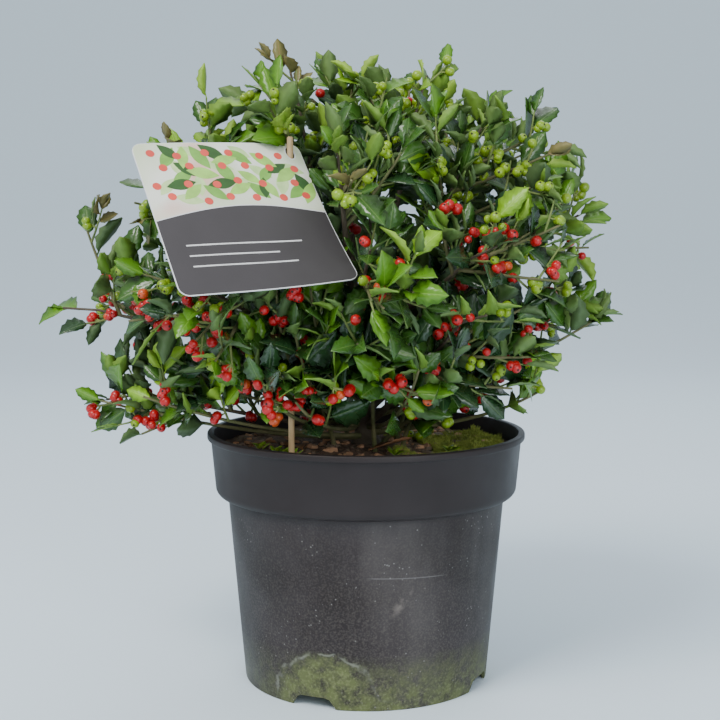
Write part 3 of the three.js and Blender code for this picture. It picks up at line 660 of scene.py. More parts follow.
def addLeaf(origin, way, size, tint):
    s = leafSizes
    if windows.find(origin + way * size * 0.55)[2] < berrySizes["window"]:
        return
    if not fits(origin + way * size, s["fringe"]) or not fits(origin + way * size * 0.5, s["middle"]):
        return
    facing = (origin - heart).normalized() * 0.8 + upward
    facing = rotated(facing, way, math.radians(grow(-s["turn"], s["turn"])))
    facing = facing - way * facing.dot(way)
    if facing.length < 0.05:
        facing = way.orthogonal()
    leaves.append((origin, way, facing.normalized(), size, tint))


# leaves from the tip down, closed together at first, smaller and younger there
def leafShoot(shoot):
    s = leafSizes
    tipTint = shoot.get("tint") or sprayTint(shoot["points"][-1])
    bare = {"stem": s["stemBare"] * shoot["length"], "twig": s["twigBare"]}.get(shoot["kind"], s["bare"])
    at, n, spacing = shoot["length"] - 0.5, 0, s["closed"]
    first = grow(0, 2 * math.pi)
    while at > bare:
        origin, along = alongShoot(shoot, at)
        side = aside(along, first + n * goldenAngle)
        opening = s["angle"] * min(1.0, 0.35 + 0.13 * n) + grow(-10, 10)
        angle = math.radians(opening if n else 8)
        way = along * math.cos(angle) + side * math.sin(angle) + upward * s["lift"]
        size = s["length"] * min(1.0, s["first"] + s["more"] * n) * grow(0.74, 1.18)
        tint = tipTint if n < s["young"] else olderTint[tipTint]
        if n >= s["fresh"]:
            tint = olderTint[tint]
        if grow() < s["oddShare"] and tint != "bronze":
            tint = "deep"
        if tint == "bronze":
            size *= s["bronze"]
        addLeaf(origin, way.normalized(), size, tint)
        spacing = min(s["spacing"], spacing * 1.5)
        at -= spacing * grow(0.85, 1.2)
        n += 1


for shoot in shoots:
    leafShoot(shoot)
print(f"{len(leaves)} leaves, {len(berries)} berries")


# a small shape that will be scattered, its faces numbered by their finish
def partedShape(name, points, faces, parts=None, scale=1.0):
    shape = addMesh(name, points, faces, scale)
    setOn(shape, "part", "INT", "FACE", parts or [0] * len(faces))
    return turnedOut(shape)


# one leaf, 1 long: petiole, keeled blade with small spines, rib strip; part 0, 1, 2 = blade, rib, back
bladeSizes = {
    "stations": (0.1, 0.17, 0.27, 0.38, 0.49, 0.6, 0.71, 0.82, 0.92, 1.0), "widest": 0.47,
    "rib": 0.014, "keel": 0.022, "spineLift": 0.012, "narrowest": 0.012,
}


def leafShape(name, width, fold, droop, twist, spine):
    s, points, faces, parts, ownUv = bladeSizes, [], [], [], []
    stations, widest = s["stations"], s["widest"]
    last = len(stations) - 1
    for n, along in enumerate(stations):
        share = (along - stations[0]) / (1 - stations[0])
        run = 1 - widest if share > widest else widest
        bulge = (1 - abs((share - widest) / run) ** 2.1) ** 0.85
        half = max(s["narrowest"], width / 2 * bulge)
        if 0 < n < last:
            half *= 1 + (spine if n % 2 else -spine)
        rib = min(s["rib"], 0.8 * half) * (1 - 0.6 * share)
        turn, sink = twist * share, droop * share ** 2
        for across in (-half, -rib, rib, half, 0.0):
            lift = fold * abs(across) + (s["spineLift"] if n % 2 and abs(across) == half else 0.0)
            if across == 0.0:
                lift = -s["keel"]
            points.append((across * math.cos(turn) - lift * math.sin(turn), along,
                           lift * math.cos(turn) + across * math.sin(turn) - sink))
            ownUv.append((0.5 + 0.5 * across / half, share))
    for n in range(last):
        a, b = 5 * n, 5 * (n + 1)
        for k, part in ((0, 0), (1, 1), (2, 0)):
            faces.append((a + k, a + k + 1, b + k + 1, b + k))
            parts.append(part)
        faces += [(a, b, b + 4, a + 4), (a + 4, b + 4, b + 3, a + 3)]
        parts += [2, 2]
    end = 5 * last
    faces += [(0, 4, 3, 2, 1), (end, end + 1, end + 2, end + 3, end + 4)]
    parts += [2, 2]
    stalk = len(points)
    for along, radius in ((-0.01, 0.026), (0.14, 0.018)):
        for corner in range(3):
            angle = 2 * math.pi * corner / 3 + math.pi / 2
            points.append((radius * math.cos(angle), along, radius * math.sin(angle) - 0.012))
            ownUv.append((0.5, 0))
    faces += ringFaces(stalk, stalk + 3, 3)
    faces += [(stalk + 2, stalk + 1, stalk), (stalk + 3, stalk + 4, stalk + 5)]
    leaf = partedShape(name, points, faces, parts + [1] * 5)
    layer = leaf.data.uv_layers.new(name="UVMap")
    for loop in leaf.data.loops:
        layer.data[loop.index].uv = ownUv[loop.vertex_index]
    return leaf


# one berry on its stalk, in millimetres: part 0, 1, 2 = skin, stalk, scar
def berryShape(name, stalkLength, sides=10):
    radius = berrySizes["radius"]
    heights = (-0.8, -0.3, 0.3, 0.76, 0.975)
    points, faces = [(0, stalkLength - 0.3, 0)], [(0, 1 + n, 1 + (n + 1) % sides) for n in range(sides)]
    for height in heights:
        out, lift = radius * math.sqrt(1 - height * height), stalkLength + radius * (1 + height)
        turns = [2 * math.pi * n / sides for n in range(sides)]
        points += [(out * math.cos(turn), lift, out * math.sin(turn)) for turn in turns]
    top = len(points) - sides
    for low in range(1, top, sides):
        faces += ringFaces(low, low + sides, sides)
    parts = [0] * len(faces) + [2] + [1] * 6
    faces.append(tuple(range(top, top + sides)))
    stalk = len(points)
    for along in (-0.5, stalkLength + 0.6):
        points += [(0.5, along, 0), (0, along, 0.5), (-0.5, along, 0), (0, along, -0.5)]
    faces += ringFaces(stalk, stalk + 4, 4)
    faces += [tuple(range(stalk, stalk + 4)), tuple(range(stalk + 4, stalk + 8))]
    return partedShape(name, points, faces, parts, mm)


class TreeMaker(NodeMaker):
    def attribute(self, name, kind):
        return self.add("GeometryNodeInputNamedAttribute", {"Name": name}, data_type=kind).outputs[0]


def newTree(name, sockets):
    tree = bpy.data.node_groups.new(name, "GeometryNodeTree")
    for label, kind in sockets:
        tree.interface.new_socket(label, in_out="INPUT", socket_type="NodeSocket" + kind)
    tree.interface.new_socket("Geometry", in_out="OUTPUT", socket_type="NodeSocketGeometry")
    maker = TreeMaker(tree)
    return maker, maker.add("NodeGroupInput").outputs


shapeInputs = ["Shape A", "Shape B", "Shape C"]
finishInputs = ["First Finish", "Second Finish", "Third Finish"]


# sets one of three shapes on every point of its host, turned and sized by the host's attributes
def scatterTree():
    maker, given = newTree("scatterShapes", [
        ("Points", "Geometry"), *[(shape, "Object") for shape in shapeInputs], ("Seed", "Int"),
        ("Spread", "Float"), *[(finish, "Material") for finish in finishInputs]])
    shapes = maker.add("GeometryNodeJoinGeometry")
    for shape in reversed(shapeInputs):
        info = maker.add("GeometryNodeObjectInfo", {"Object": given[shape], "As Instance": True})
        maker.tree.links.new(info.outputs["Geometry"], shapes.inputs[0])
    pick = maker.add("FunctionNodeRandomValue", {4: 0, 5: 2, 8: given["Seed"]}, data_type="INT")
    low = maker.maths("SUBTRACT", 1.0, given["Spread"])
    high = maker.maths("ADD", 1.0, given["Spread"])
    vary = maker.add("FunctionNodeRandomValue", {2: low, 3: high, 8: given["Seed"]}, data_type="FLOAT")
    spin = maker.add("FunctionNodeEulerToRotation", {0: maker.attribute("turn", "FLOAT_VECTOR")})
    setOut = maker.add("GeometryNodeInstanceOnPoints", {
        "Points": given["Points"], "Instance": shapes.outputs[0], "Pick Instance": True,
        "Instance Index": pick.outputs[2], "Rotation": spin.outputs[0],
        "Scale": maker.times(maker.attribute("size", "FLOAT"), vary.outputs[1]),
    })
    shape = maker.add("GeometryNodeRealizeInstances", {0: setOut.outputs[0]}).outputs[0]
    part = maker.attribute("part", "INT")
    for number, finish in enumerate(finishInputs):
        same = maker.add("FunctionNodeCompare", {2: part, 3: number}, data_type="INT", operation="EQUAL")
        inputs = {"Geometry": shape, "Selection": same.outputs[0], "Material": given[finish]}
        shape = maker.add("GeometryNodeSetMaterial", inputs).outputs[0]
    maker.add("NodeGroupOutput", {0: shape})
    return maker.tree


# round wood along its host's edges, as thick as the host's points say
def woodTree():
    maker, given = newTree("roundWood", [
        ("Lines", "Geometry"), ("Sides", "Int"), ("Relief", "Float"), ("Grain", "Float"),
        ("Seed", "Float"), ("Finish", "Material")])
    thick = maker.attribute("thick", "FLOAT")
    lines = maker.add("GeometryNodeMeshToCurve", {0: given["Lines"]})
    ring = maker.add("GeometryNodeCurvePrimitiveCircle", {"Resolution": given["Sides"], "Radius": 1.0})
    tube = maker.add("GeometryNodeCurveToMesh", {
        "Curve": lines.outputs[0], "Profile Curve": ring.outputs[0], "Scale": thick, "Fill Caps": True})
    inputs = {"Scale": given["Grain"], "Detail": 3.0, "W": given["Seed"]}
    grain = maker.add("ShaderNodeTexNoise", inputs, noise_dimensions="4D").outputs[0]
    height = maker.times(maker.maths("SUBTRACT", grain, 0.5), maker.times(given["Relief"], thick))
    normal = maker.add("GeometryNodeInputNormal").outputs[0]
    offset = maker.add("ShaderNodeVectorMath", {0: normal, "Scale": height}, operation="SCALE")
    inputs = {"Geometry": tube.outputs[0], "Offset": offset.outputs[0]}
    rough = maker.add("GeometryNodeSetPosition", inputs)
    soft = maker.add("GeometryNodeSetShadeSmooth", {0: rough.outputs[0]})
    real = maker.add("GeometryNodeRealizeInstances", {0: soft.outputs[0]})
    inputs = {"Geometry": real.outputs[0], "Material": given["Finish"]}
    done = maker.add("GeometryNodeSetMaterial", inputs)
    maker.add("NodeGroupOutput", {0: done.outputs[0]})
    return maker.tree


def runTree(host, tree, inputs):
    modifier = host.modifiers.new("shape", "NODES")
    modifier.node_group = tree
    for item in tree.interface.items_tree:
        if item.in_out == "INPUT" and item.name in inputs:
            modifier[item.identifier] = inputs[item.name]
    return settled(host)


scatter, roundWood = scatterTree(), woodTree()


# a place's second way becomes a shape's +Y and its third the shape's +Z
def scatterOn(name, places, shapes, finishes, unit=mm, spread=0.06, seed=3):
    host = addMesh(name, [place[0] for place in places], [])
    turns, sizes = [], []
    for origin, along, facing, size, *_ in places:
        turns += Matrix((along.cross(facing), along, facing)).transposed().to_euler()
        sizes.append(size * unit)
    setOn(host, "turn", "FLOAT_VECTOR", "POINT", turns)
    setOn(host, "size", "FLOAT", "POINT", sizes)
    inputs = {"Seed": seed, "Spread": spread, **dict(zip(shapeInputs, shapes))}
    return runTree(host, scatter, {**inputs, **dict(zip(finishInputs, finishes))})


def woodAlong(name, lengths, finish, sides, relief, grain, seed):
    points, edges, thickness = [], [], []
    for wood in lengths:
        first, last = len(points), len(wood["points"]) - 1
        points += wood["points"]
        edges += [(first + n, first + n + 1) for n in range(last)]
        radii = wood.get("radii") or [
            wood["base"] + (wood["tip"] - wood["base"]) * n / last for n in range(last + 1)]
        thickness += [radius * mm for radius in radii]
    host = addMesh(name, points, [], mm, edges)
    setOn(host, "thick", "FLOAT", "POINT", thickness)
    inputs = {"Sides": sides, "Relief": relief, "Grain": grain, "Seed": seed, "Finish": finish}
    return runTree(host, roundWood, inputs)


def barkFinish(name, color, streak, scale):
    finish = Finish(name, color, 0.75)
    finish.tint(finish.cloud(scale, 0.4, 0.65, 0.7, 5.0), streak)
    finish.tint(finish.cloud(scale * 5, 0.6, 0.75, 0.6), [c * 0.35 for c in color])
    return finish.grain(scale * 4, 0.0006, 0.7).material


foliageNodes = [f"foliage_{limb['name']}" for limb in limbs]
boughNodes = [f"bough_{limb['name']}" for limb in limbs]


# trunk and limbs: a short flared foot, and tapering limbs that come out of it
def trunkRadius(share):
    s = trunkSizes
    taper = s["footRadius"] + (s["topRadius"] - s["footRadius"]) * share
    return taper + s["flare"] * math.exp(-max(share, 0) * s["flareShare"])


trunkShares = [-0.06, 0.03, 0.08, 0.15, 0.25, 0.4, 0.6, 0.8, 1.0, 1.06]
trunkWood = {
    "points": [trunkFoot.lerp(trunkTop, share) for share in trunkShares],
    "radii": [trunkRadius(share) for share in trunkShares],
}
oldBark = barkFinish("oldBark", (0.060, 0.042, 0.026), (0.115, 0.095, 0.062), 90)
greenBark = barkFinish("greenBark", (0.095, 0.105, 0.035), (0.17, 0.15, 0.07), 120)
shootBark = barkFinish("shootBark", (0.13, 0.19, 0.045), (0.20, 0.22, 0.07), 160)
limbWoods = [trunkWood] + [wood for wood in woods if wood["kind"] == "limb"]
twigWoods = [wood for wood in woods if wood["kind"] == "twig"]
shootWoods = [shoot for shoot in shoots if shoot["kind"] == "shoot"]
# name, lengths, bark, sides, relief, grain, nodes
woodPieces = [
    ("trunkAndBoughs", limbWoods, oldBark, 12, 0.5, 220, ["trunk"] + boughNodes),
    ("twigs", twigWoods, greenBark, 7, 0.3, 300, foliageNodes),
    ("shoots", shootWoods, shootBark, 5, 0.2, 300, foliageNodes),
]
for seed, (name, lengths, bark, sides, relief, grain, nodes) in enumerate(woodPieces, 1):
    placed(woodAlong(name, lengths, bark, sides, relief, grain, seed), nodes)
print("wood is made")

leafShapes = [
    leafShape("leafA", 0.54, 0.24, 0.14, 0.25, 0.10),
    leafShape("leafB", 0.60, 0.36, 0.24, -0.3, 0.11),
    leafShape("leafC", 0.49, 0.16, 0.02, 0.4, 0.09),
]
for tint in leafColors:
    dealt = [leaf for leaf in leaves if leaf[4] == tint]
    piece = scatterOn("leaves_" + tint, dealt, leafShapes, leafFinishes[tint])
    placed(smooth(piece), foliageNodes)
print("leaves are made")

stalkFinish = mottledFinish("berryStalk", (0.16, 0.20, 0.05), 0.6)
scarFinish = mottledFinish("berryScar", (0.012, 0.008, 0.006), 0.8)
berryColors = {
    "green": (0.190, 0.310, 0.010), "red": (0.40, 0.006, 0.008), "orange": (0.50, 0.07, 0.012),
}
berryFinishes = {}
berryShapes = [berryShape("berryA", 4.5), berryShape("berryB", 6.0), berryShape("berryC", 3.5)]
for tint, color in berryColors.items():
    skin = mottledFinish("berrySkin_" + tint, color, 0.28, 0.25, 200, 1.4)
    berryFinishes[tint] = (skin, stalkFinish, scarFinish)
    dealt = [berry for berry in berries if berry[4] == tint]
    piece = scatterOn("berries_" + tint, dealt, berryShapes, berryFinishes[tint], 1.0)
    placed(smooth(piece, 50), foliageNodes)
print("berries are made")


# the pot is a lathe with its drain notches cut out
potSizes = {
    **potMouth, "beadHeight": 5, "beadRound": 1.1, "lipRound": 1.2, "bandTopRadius": 112.6,
    "bandFootRadius": 109.2, "bandFoot": 134.5, "bandRound": 6, "wallTopRadius": 100.4,
    "baseRadius": 88.6, "baseRound": 0.8, "wall": 2.2, "floor": 3, "recessInner": 70, "recessDepth": 9,
    "segments": 160,
}
notchSizes = {"count": 4, "first": -114, "topWidth": 20, "footWidth": 34, "height": 8}


def lathe(name, profile, segments):
    points, faces, rows = [], [], []
    for radius, height in profile:
        rows.append((len(points), radius > 0))
        for n in range(segments if radius > 0 else 1):
            angle = 2 * math.pi * n / segments
            points.append((radius * math.cos(angle), radius * math.sin(angle), height))
    for (low, lowWide), (high, highWide) in zip(rows, rows[1:]):
        if lowWide and highWide:
            faces += ringFaces(low, high, segments)
        elif lowWide:
            faces += [(low + n, low + (n + 1) % segments, high) for n in range(segments)]
        elif highWide:
            faces += [(low, high + (n + 1) % segments, high + n) for n in range(segments)]
    return turnedOut(addMesh(name, points, faces))


def arc(centre, radius, start, end, steps):
    turns = [math.radians(start + (end - start) * n / steps) for n in range(steps + 1)]
    return [(centre[0] + radius * math.cos(t), centre[1] + radius * math.sin(t)) for t in turns]


def wallRadiusAt(height):
    s = potSizes
    return s["baseRadius"] + (s["wallTopRadius"] - s["baseRadius"]) * height / s["bandFoot"]


def potProfile():
    s = potSizes
    recess, recessOuter = s["recessInner"], s["baseRadius"] - s["wall"]
    floorTop, shelf = s["recessDepth"] + s["floor"], s["bandFoot"] + s["wall"]
    beadFoot, mouth = s["height"] - s["beadHeight"], s["mouthRadius"]
    base, band, bead, lip = s["baseRound"], s["bandRound"], s["beadRound"], s["lipRound"]
    profile = [(0, 0), (recess - 1, 0), (recess, 1), (recess, s["recessDepth"])]
    profile += [(recessOuter, s["recessDepth"]), (recessOuter, 0.4), (recessOuter + 0.4, 0)]
    profile += arc((s["baseRadius"] - base, base), base, -90, 0, 4)
    profile += [(wallRadiusAt(z), z) for z in (20, 50, 80, 110)]
    profile += [(s["wallTopRadius"] - 0.1, s["bandFoot"] - 0.6), (s["wallTopRadius"] + 0.6, s["bandFoot"])]
    profile += arc((s["bandFootRadius"] - band, s["bandFoot"] + band), band, -90, 0, 6)
    profile += [(s["bandTopRadius"] - 0.3, beadFoot - 1), (s["bandTopRadius"] + 0.2, beadFoot)]
    profile += arc((s["lipRadius"] - bead, beadFoot + 1.3), bead, -70, 0, 4)
    profile += arc((s["lipRadius"] - lip, s["height"] - lip), lip, 0, 90, 4)
    profile += [(mouth + 0.5, s["height"]), (mouth, s["height"] - 0.6)]
    profile += [(s["bandFootRadius"] - s["wall"], shelf), (s["wallTopRadius"] - s["wall"], shelf)]
    profile += [(wallRadiusAt(floorTop) - s["wall"], floorTop)]
    profile += [(recess - s["floor"], floorTop), (recess - s["floor"], s["floor"])]
    return profile + [(0, s["floor"])]


def drainCutter():
    s, points, faces = notchSizes, [], []
    foot, top = s["footWidth"] / 2, s["topWidth"] / 2
    half = [(foot, -1), (foot - 1, 1.2), (top + 2, s["height"] - 1.2), (top - 1.5, s["height"])]
    outline = half + [(-across, height) for across, height in reversed(half)]
    count = len(outline)
    for n in range(s["count"]):
        turn = Matrix.Rotation(math.radians(s["first"] + 360 / s["count"] * n), 3, "Z")
        first = len(points)
        for out in (potSizes["recessInner"] + 4, potSizes["baseRadius"] + 8):
            points += [turn @ Vector((out, across, height)) for across, height in outline]
        faces.append(range(first, first + count))
        faces.append(range(first + count, first + 2 * count))
        faces += ringFaces(first, first + count, count)
    return turnedOut(addMesh("drainCutter", points, faces))


# the pot's marks, in metres as its material reads them
potMarks = {
    "wallTop": (0.136, 0.130), "dirt": (0.14, 0.01), "filmTop": (0.040, 0.004), "front": (-0.05, -0.06),
    "domeAside": 0.012, "domeHeight": -0.006, "dome": (0.062, 0.050), "domeWaves": 0.030, "edge": 0.0585,
    "scratchHeight": 0.0945, "scratchSlope": 0.03, "scratchWidth": (0.0005, 0.0001),
    "scuffAt": (0.024, 0.0, 0.0764), "scuffTurn": (0.0, 0.61, 0.0), "scuffSize": (0.0042, 1000.0, 0.0145),
}


def potFinish():
    s = potMarks
    finish = Finish("potPlastic", (0.0130, 0.0086, 0.0088), 0.5)
    finish.tune({"Specular IOR Level": 0.30})
    times, between, cloud = finish.times, finish.between, finish.cloud
    x, y, z = finish.add("ShaderNodeSeparateXYZ", {"Vector": finish.place}).outputs
    wallOnly, front = between(z, *s["wallTop"]), between(y, *s["front"])
    haze = cloud(14.0, 0.4, 0.75, 0.42, 6.0)
    finish.tint(times(haze, between(wallOnly, 0, 1, 0.3, 1.0)), (0.068, 0.058, 0.063))
    streaks = cloud(30.0, 0.5, 0.72, 0.35, 5.0, (1, 1, 0.15))
    finish.tint(times(streaks, wallOnly), (0.092, 0.084, 0.080))
    # fine dirt, thicker towards the foot
    dirt, lower = cloud(760.0, 0.44, 0.72, 1.0, 6.0), between(z, *s["dirt"], 0.25, 1.0)
    finish.tint(times(dirt, lower, wallOnly, 0.55), (0.115, 0.102, 0.088))
    # green film near the foot, thickest over the front notch and to its right
    baseRim = Vector((potSizes["baseRadius"] * mm, 0, 0))
    notch = rotated(baseRim, "Z", math.radians(notchSizes["first"]))
    centre = (notch.x + s["domeAside"], notch.y, s["domeHeight"])
    away = finish.add("ShaderNodeVectorMath", {0: finish.place, 1: centre}, operation="DISTANCE")
    waves = times(finish.speckle(38.0, 5.0), s["domeWaves"])
    wavy = finish.maths("ADD", away.outputs["Value"], waves)
    foot = times(between(z, *s["filmTop"]), between(x, -0.075, -0.02, 0.35, 1.0))
    film = finish.maths("MAXIMUM", between(wavy, *s["dome"]), foot)
    finish.tint(times(film, cloud(120.0, 0.36, 0.6, 1.0, 6.0, start=0.15), 0.85), (0.105, 0.125, 0.042))
    finish.tint(times(film, cloud(520.0, 0.48, 0.70, 1.0, 5.0), 0.45), (0.22, 0.24, 0.11))
    # its pale upper edge
    line = between(finish.off(wavy, s["edge"]), 0.0016, 0.0002)
    line = times(line, cloud(110.0, 0.4, 0.6), between(x, 0.02, -0.01))
    finish.tint(times(line, 0.34), (0.34, 0.36, 0.30))
    # dust specks, one long scratch and a scuff
    dots = finish.add("ShaderNodeTexVoronoi", {"Vector": finish.place, "Scale": 260.0})
    specks = between(dots.outputs["Distance"], 0.17, 0.10)
    finish.tint(times(specks, cloud(45.0, 0.50, 0.60), wallOnly, 0.4), (0.32, 0.31, 0.30))
    slope = finish.maths("ADD", z, times(x, s["scratchSlope"]))
    scratch = between(finish.off(slope, s["scratchHeight"]), *s["scratchWidth"])
    ends = times(between(x, 0.0, 0.006), between(x, 0.056, 0.046), front)
    finish.tint(times(scratch, ends, 0.35), (0.24, 0.23, 0.23))
    scuffAt = finish.add("ShaderNodeMapping", {
        "Vector": finish.place, "Location": s["scuffAt"], "Rotation": s["scuffTurn"],
        "Scale": s["scuffSize"]}, vector_type="TEXTURE")
    scuff = finish.add("ShaderNodeVectorMath", {0: scuffAt.outputs[0]}, operation="LENGTH")
    scuff = times(between(scuff.outputs["Value"], 1.0, 0.2), cloud(200.0, 0.4, 0.6), front)
    finish.tint(times(scuff, 0.55), (0.19, 0.165, 0.145))
    finish.rough(cloud(18.0, 0.3, 0.7, 0.62, 5.0, start=0.40))
    finish.grain(900.0, 0.0002, 0.15, 2.0)
    finish.grain(9.0, 0.004, 0.12, 2.0)
    return finish.material


pot = lathe("pot", potProfile(), potSizes["segments"])
cutter = drainCutter()
cut = pot.modifiers.new("notches", "BOOLEAN")
cut.object, cut.operation, cut.solver = cutter, "DIFFERENCE", "EXACT"
settled(pot)
bpy.data.objects.remove(cutter)
finished(pot, potFinish(), 32, ["pot"])
print("pot is made")


# potting mix: a rough top over the pot's filled inside, with bark chips
def mixTop(x, y):
    s = mixHeights
    rise = (s["slopeRadius"] - math.hypot(x, y)) / (s["slopeRadius"] - s["heapRadius"])
    level = s["edge"] + (s["heap"] - s["edge"]) * max(0.0, min(1.0, rise))
    return level + 1.7 * noise.fractal(Vector((x, y, 0)) * 0.07, 1.0, 2.0, 5)


mixSizes = {
    "gap": 0.3, "hub": 66.7, "foot": 86.8, "shoulder": 97.6, "band": 106.4, "rim": 109.1,
    "rimHeight": 165, "flat": 165.5, "rings": 42, "ringStep": 2.6, "segments": 168,
}


def mixProfile():
    s = mixSizes
    under = potSizes["floor"] + s["gap"]
    floorTop = potSizes["recessDepth"] + potSizes["floor"] + s["gap"]
    shelf = potSizes["bandFoot"] + potSizes["wall"] + s["gap"]
    profile = [(0, under), (s["hub"], under), (s["hub"], floorTop), (s["foot"], floorTop)]
    profile += [(s["shoulder"], shelf), (s["band"], shelf), (s["rim"], s["rimHeight"])]
    profile += [(s["rim"] - s["ringStep"] * n, mixHeights["edge"]) for n in range(s["rings"])]
    return profile + [(0, mixHeights["heap"])]


pottingMix = lathe("pottingMix", mixProfile(), mixSizes["segments"])
for vertex in pottingMix.data.vertices:
    if vertex.co.z > mixSizes["flat"] * mm:
        vertex.co.z = mixTop(vertex.co.x / mm, vertex.co.y / mm) * mm
soil = Finish("pottingMix", (0.125, 0.076, 0.048), 0.95)
soil.tint(soil.cloud(240.0, 0.5, 0.68, 0.8, 6.0), (0.29, 0.18, 0.11))
soil.tint(soil.cloud(90.0, 0.55, 0.75, 0.5, 5.0), (0.035, 0.045, 0.012))
soil.grain(500.0, 0.003, 1.0, 6.0)
finished(pottingMix, soil.material, 50, ["potting_mix"])


def chipShape(name, seed):
    draw = seededRandom(seed)
    outline = [(0.5, 0.1), (0.25, 0.34), (-0.2, 0.36), (-0.5, 0.08), (-0.3, -0.3), (0.28, -0.34)]
    outline = [(x * draw(0.8, 1.2), y * draw(0.6, 1.2)) for x, y in outline]
    points = [(x, y, -0.1) for x, y in outline]
    points += [(x * 0.85, y * 0.85, draw(0.06, 0.2)) for x, y in outline]
    return partedShape(name, points, [range(5, -1, -1), range(6, 12)] + ringFaces(0, 6, 6))


chipSizes = {
    "count": 520, "smallest": 3.0, "largest": 11.0, "reach": 103, "fromTrunk": 13, "fromStick": 8,
    "lean": 0.35, "brownShare": 0.45,
}
lay = seededRandom(29)
chips = {"dark": [], "brown": []}
for n in range(chipSizes["count"]):
    out, turn = chipSizes["reach"] * math.sqrt(lay()), lay(0, 2 * math.pi)
    x, y = out * math.cos(turn), out * math.sin(turn)
    fromStick = math.hypot(x - stickSizes["x"], y - stickSizes["y"])
    if out > chipSizes["fromTrunk"] and fromStick > chipSizes["fromStick"]:
        size, lean = lay(chipSizes["smallest"], chipSizes["largest"]), chipSizes["lean"]
        facing = Vector((lay(-lean, lean), lay(-lean, lean), 1)).normalized()
        along = facing.cross(Vector((math.cos(turn * 7), math.sin(turn * 7), 0))).normalized()
        place = Vector((x, y, mixTop(x, y) + 0.4))
        tint = "brown" if lay() < chipSizes["brownShare"] else "dark"
        chips[tint].append((place, along, facing, size))
chipShapes = [chipShape(f"chip{seed}", seed) for seed in (5, 6, 7)]
chipFinishes = {
    "dark": mottledFinish("darkChip", (0.13, 0.092, 0.062), 0.9, 0.5),
    "brown": mottledFinish("brownChip", (0.32, 0.175, 0.095), 0.85, 0.5),
}
for tint, dealt in chips.items():
    piece = scatterOn("barkChips_" + tint, dealt, chipShapes, [chipFinishes[tint]] * 3)
    placed(piece, ["potting_mix"])


# moss: a lumpy cushion under a pile of small tufts
mossSizes = {
    "radius": 84, "width": 34, "from": -82, "to": -28, "height": 4.5, "lumps": 2.8, "foot": 165,
    "cols": 10, "rows": 36, "tufts": 9000, "tuft": 3.4, "onCushion": 0.4, "creepX": (14, 100),
    "creepY": (-60, 56), "creepMiddle": 42, "creepFrom": 24, "creepTo": 102,
}


def lumpsAt(x, y, layer, scale):
    return noise.noise(Vector((x, y, layer)) * scale)


def mossPoint(share, across, top):
    s = mossSizes
    swell = math.sin(math.pi * (0.12 + 0.76 * share))
    turn = math.radians(s["from"] + (s["to"] - s["from"]) * share)
    out = s["radius"] + across * swell * s["width"] / 2
    x, y = out * math.cos(turn), out * math.sin(turn)
    lift = (s["height"] * swell + s["lumps"] * lumpsAt(x, y, 3, 0.13)) * (1 - across * across)
    return Vector((x, y, max(s["foot"] + 1, mixTop(x, y) + lift - 0.8) if top else s["foot"]))


mossCols, mossRows = mossSizes["cols"], mossSizes["rows"]
mossWidth = mossCols + 1
under = (mossRows + 1) * mossWidth
points = [mossPoint(row / mossRows, 2 * col / mossCols - 1, top)
          for top in (True, False) for row in range(mossRows + 1) for col in range(mossWidth)]
faces = []
for row in range(mossRows):
    for col in range(mossCols):
        a = row * mossWidth + col
        faces.append((a, a + 1, a + 1 + mossWidth, a + mossWidth))
        faces.append((under + a + mossWidth, under + a + 1 + mossWidth, under + a + 1, under + a))
rim = list(range(mossWidth)) + [(row + 1) * mossWidth + mossCols for row in range(mossRows)]
rim += [mossRows * mossWidth + col for col in reversed(range(mossCols))]
rim += [row * mossWidth for row in reversed(range(1, mossRows))]
faces += [(b, a, under + a, under + b) for a, b in zip(rim, rim[1:] + rim[:1])]
cushion = turnedOut(addMesh("mossCushion", points, faces))
mossGreen = Finish("mossGreen", (0.24, 0.31, 0.050), 0.95)
mossGreen.tint(mossGreen.cloud(160.0, 0.4, 0.65, 0.8, 5.0), (0.45, 0.50, 0.090))
mossGreen.tint(mossGreen.cloud(55.0, 0.55, 0.7, 0.6, 3.0), (0.090, 0.085, 0.035))
mossGreen.grain(700.0, 0.002, 1.0)
finished(cushion, mossGreen.material, None, ["moss"])


def tuftShape(name, seed):
    draw, points, faces = seededRandom(seed), [], []
    for blade in range(5):
        turn = 2 * math.pi * blade / 5 + draw(0, 0.8)
        lean = Vector((math.cos(turn), math.sin(turn), 0)) * draw(0.3, 0.7)
        first = len(points)
        for corner in range(3):
            angle = 2 * math.pi * corner / 3
            points.append(Vector((0.13 * math.cos(angle), 0.13 * math.sin(angle), -0.2)) + lean * 0.2)
        points.append(lean + Vector((0, 0, draw(0.6, 1.0))))
        faces += [(first, first + 2, first + 1)]
        faces += [(first + n, first + (n + 1) % 3, first + 3) for n in range(3)]
    return partedShape(name, points, faces)


# thin moss creeps on over the mix from the cushion, in clouds
def mossSpot():
    s = mossSizes
    if lay() < s["onCushion"]:
        return mossPoint(lay(), lay(-0.96, 0.96), True)
    while True:
        x, y = lay(*s["creepX"]), lay(*s["creepY"])
        cloud = lumpsAt(x, y, 9, 0.045) + 0.012 * (x - s["creepMiddle"])
        if s["creepFrom"] < math.hypot(x, y) < s["creepTo"] and cloud > lay(-0.1, 0.4):
            lump = 6 * max(0.0, lumpsAt(x, y, 5, 0.11))
            return Vector((x, y, mixTop(x, y) + lay(0, 1.2 + lump)))


pile = []
for n in range(mossSizes["tufts"]):
    spot, turn = mossSpot(), lay(0, 2 * math.pi)
    along = Vector((math.cos(turn), math.sin(turn), 0))
    pile.append((spot, along, upward, mossSizes["tuft"] * lay(0.5, 1.2)))
tuftShapes = [tuftShape(f"tuft{seed}", seed) for seed in (11, 12, 13)]
placed(scatterOn("mossTufts", pile, tuftShapes, [mossGreen.material] * 3), ["moss"])


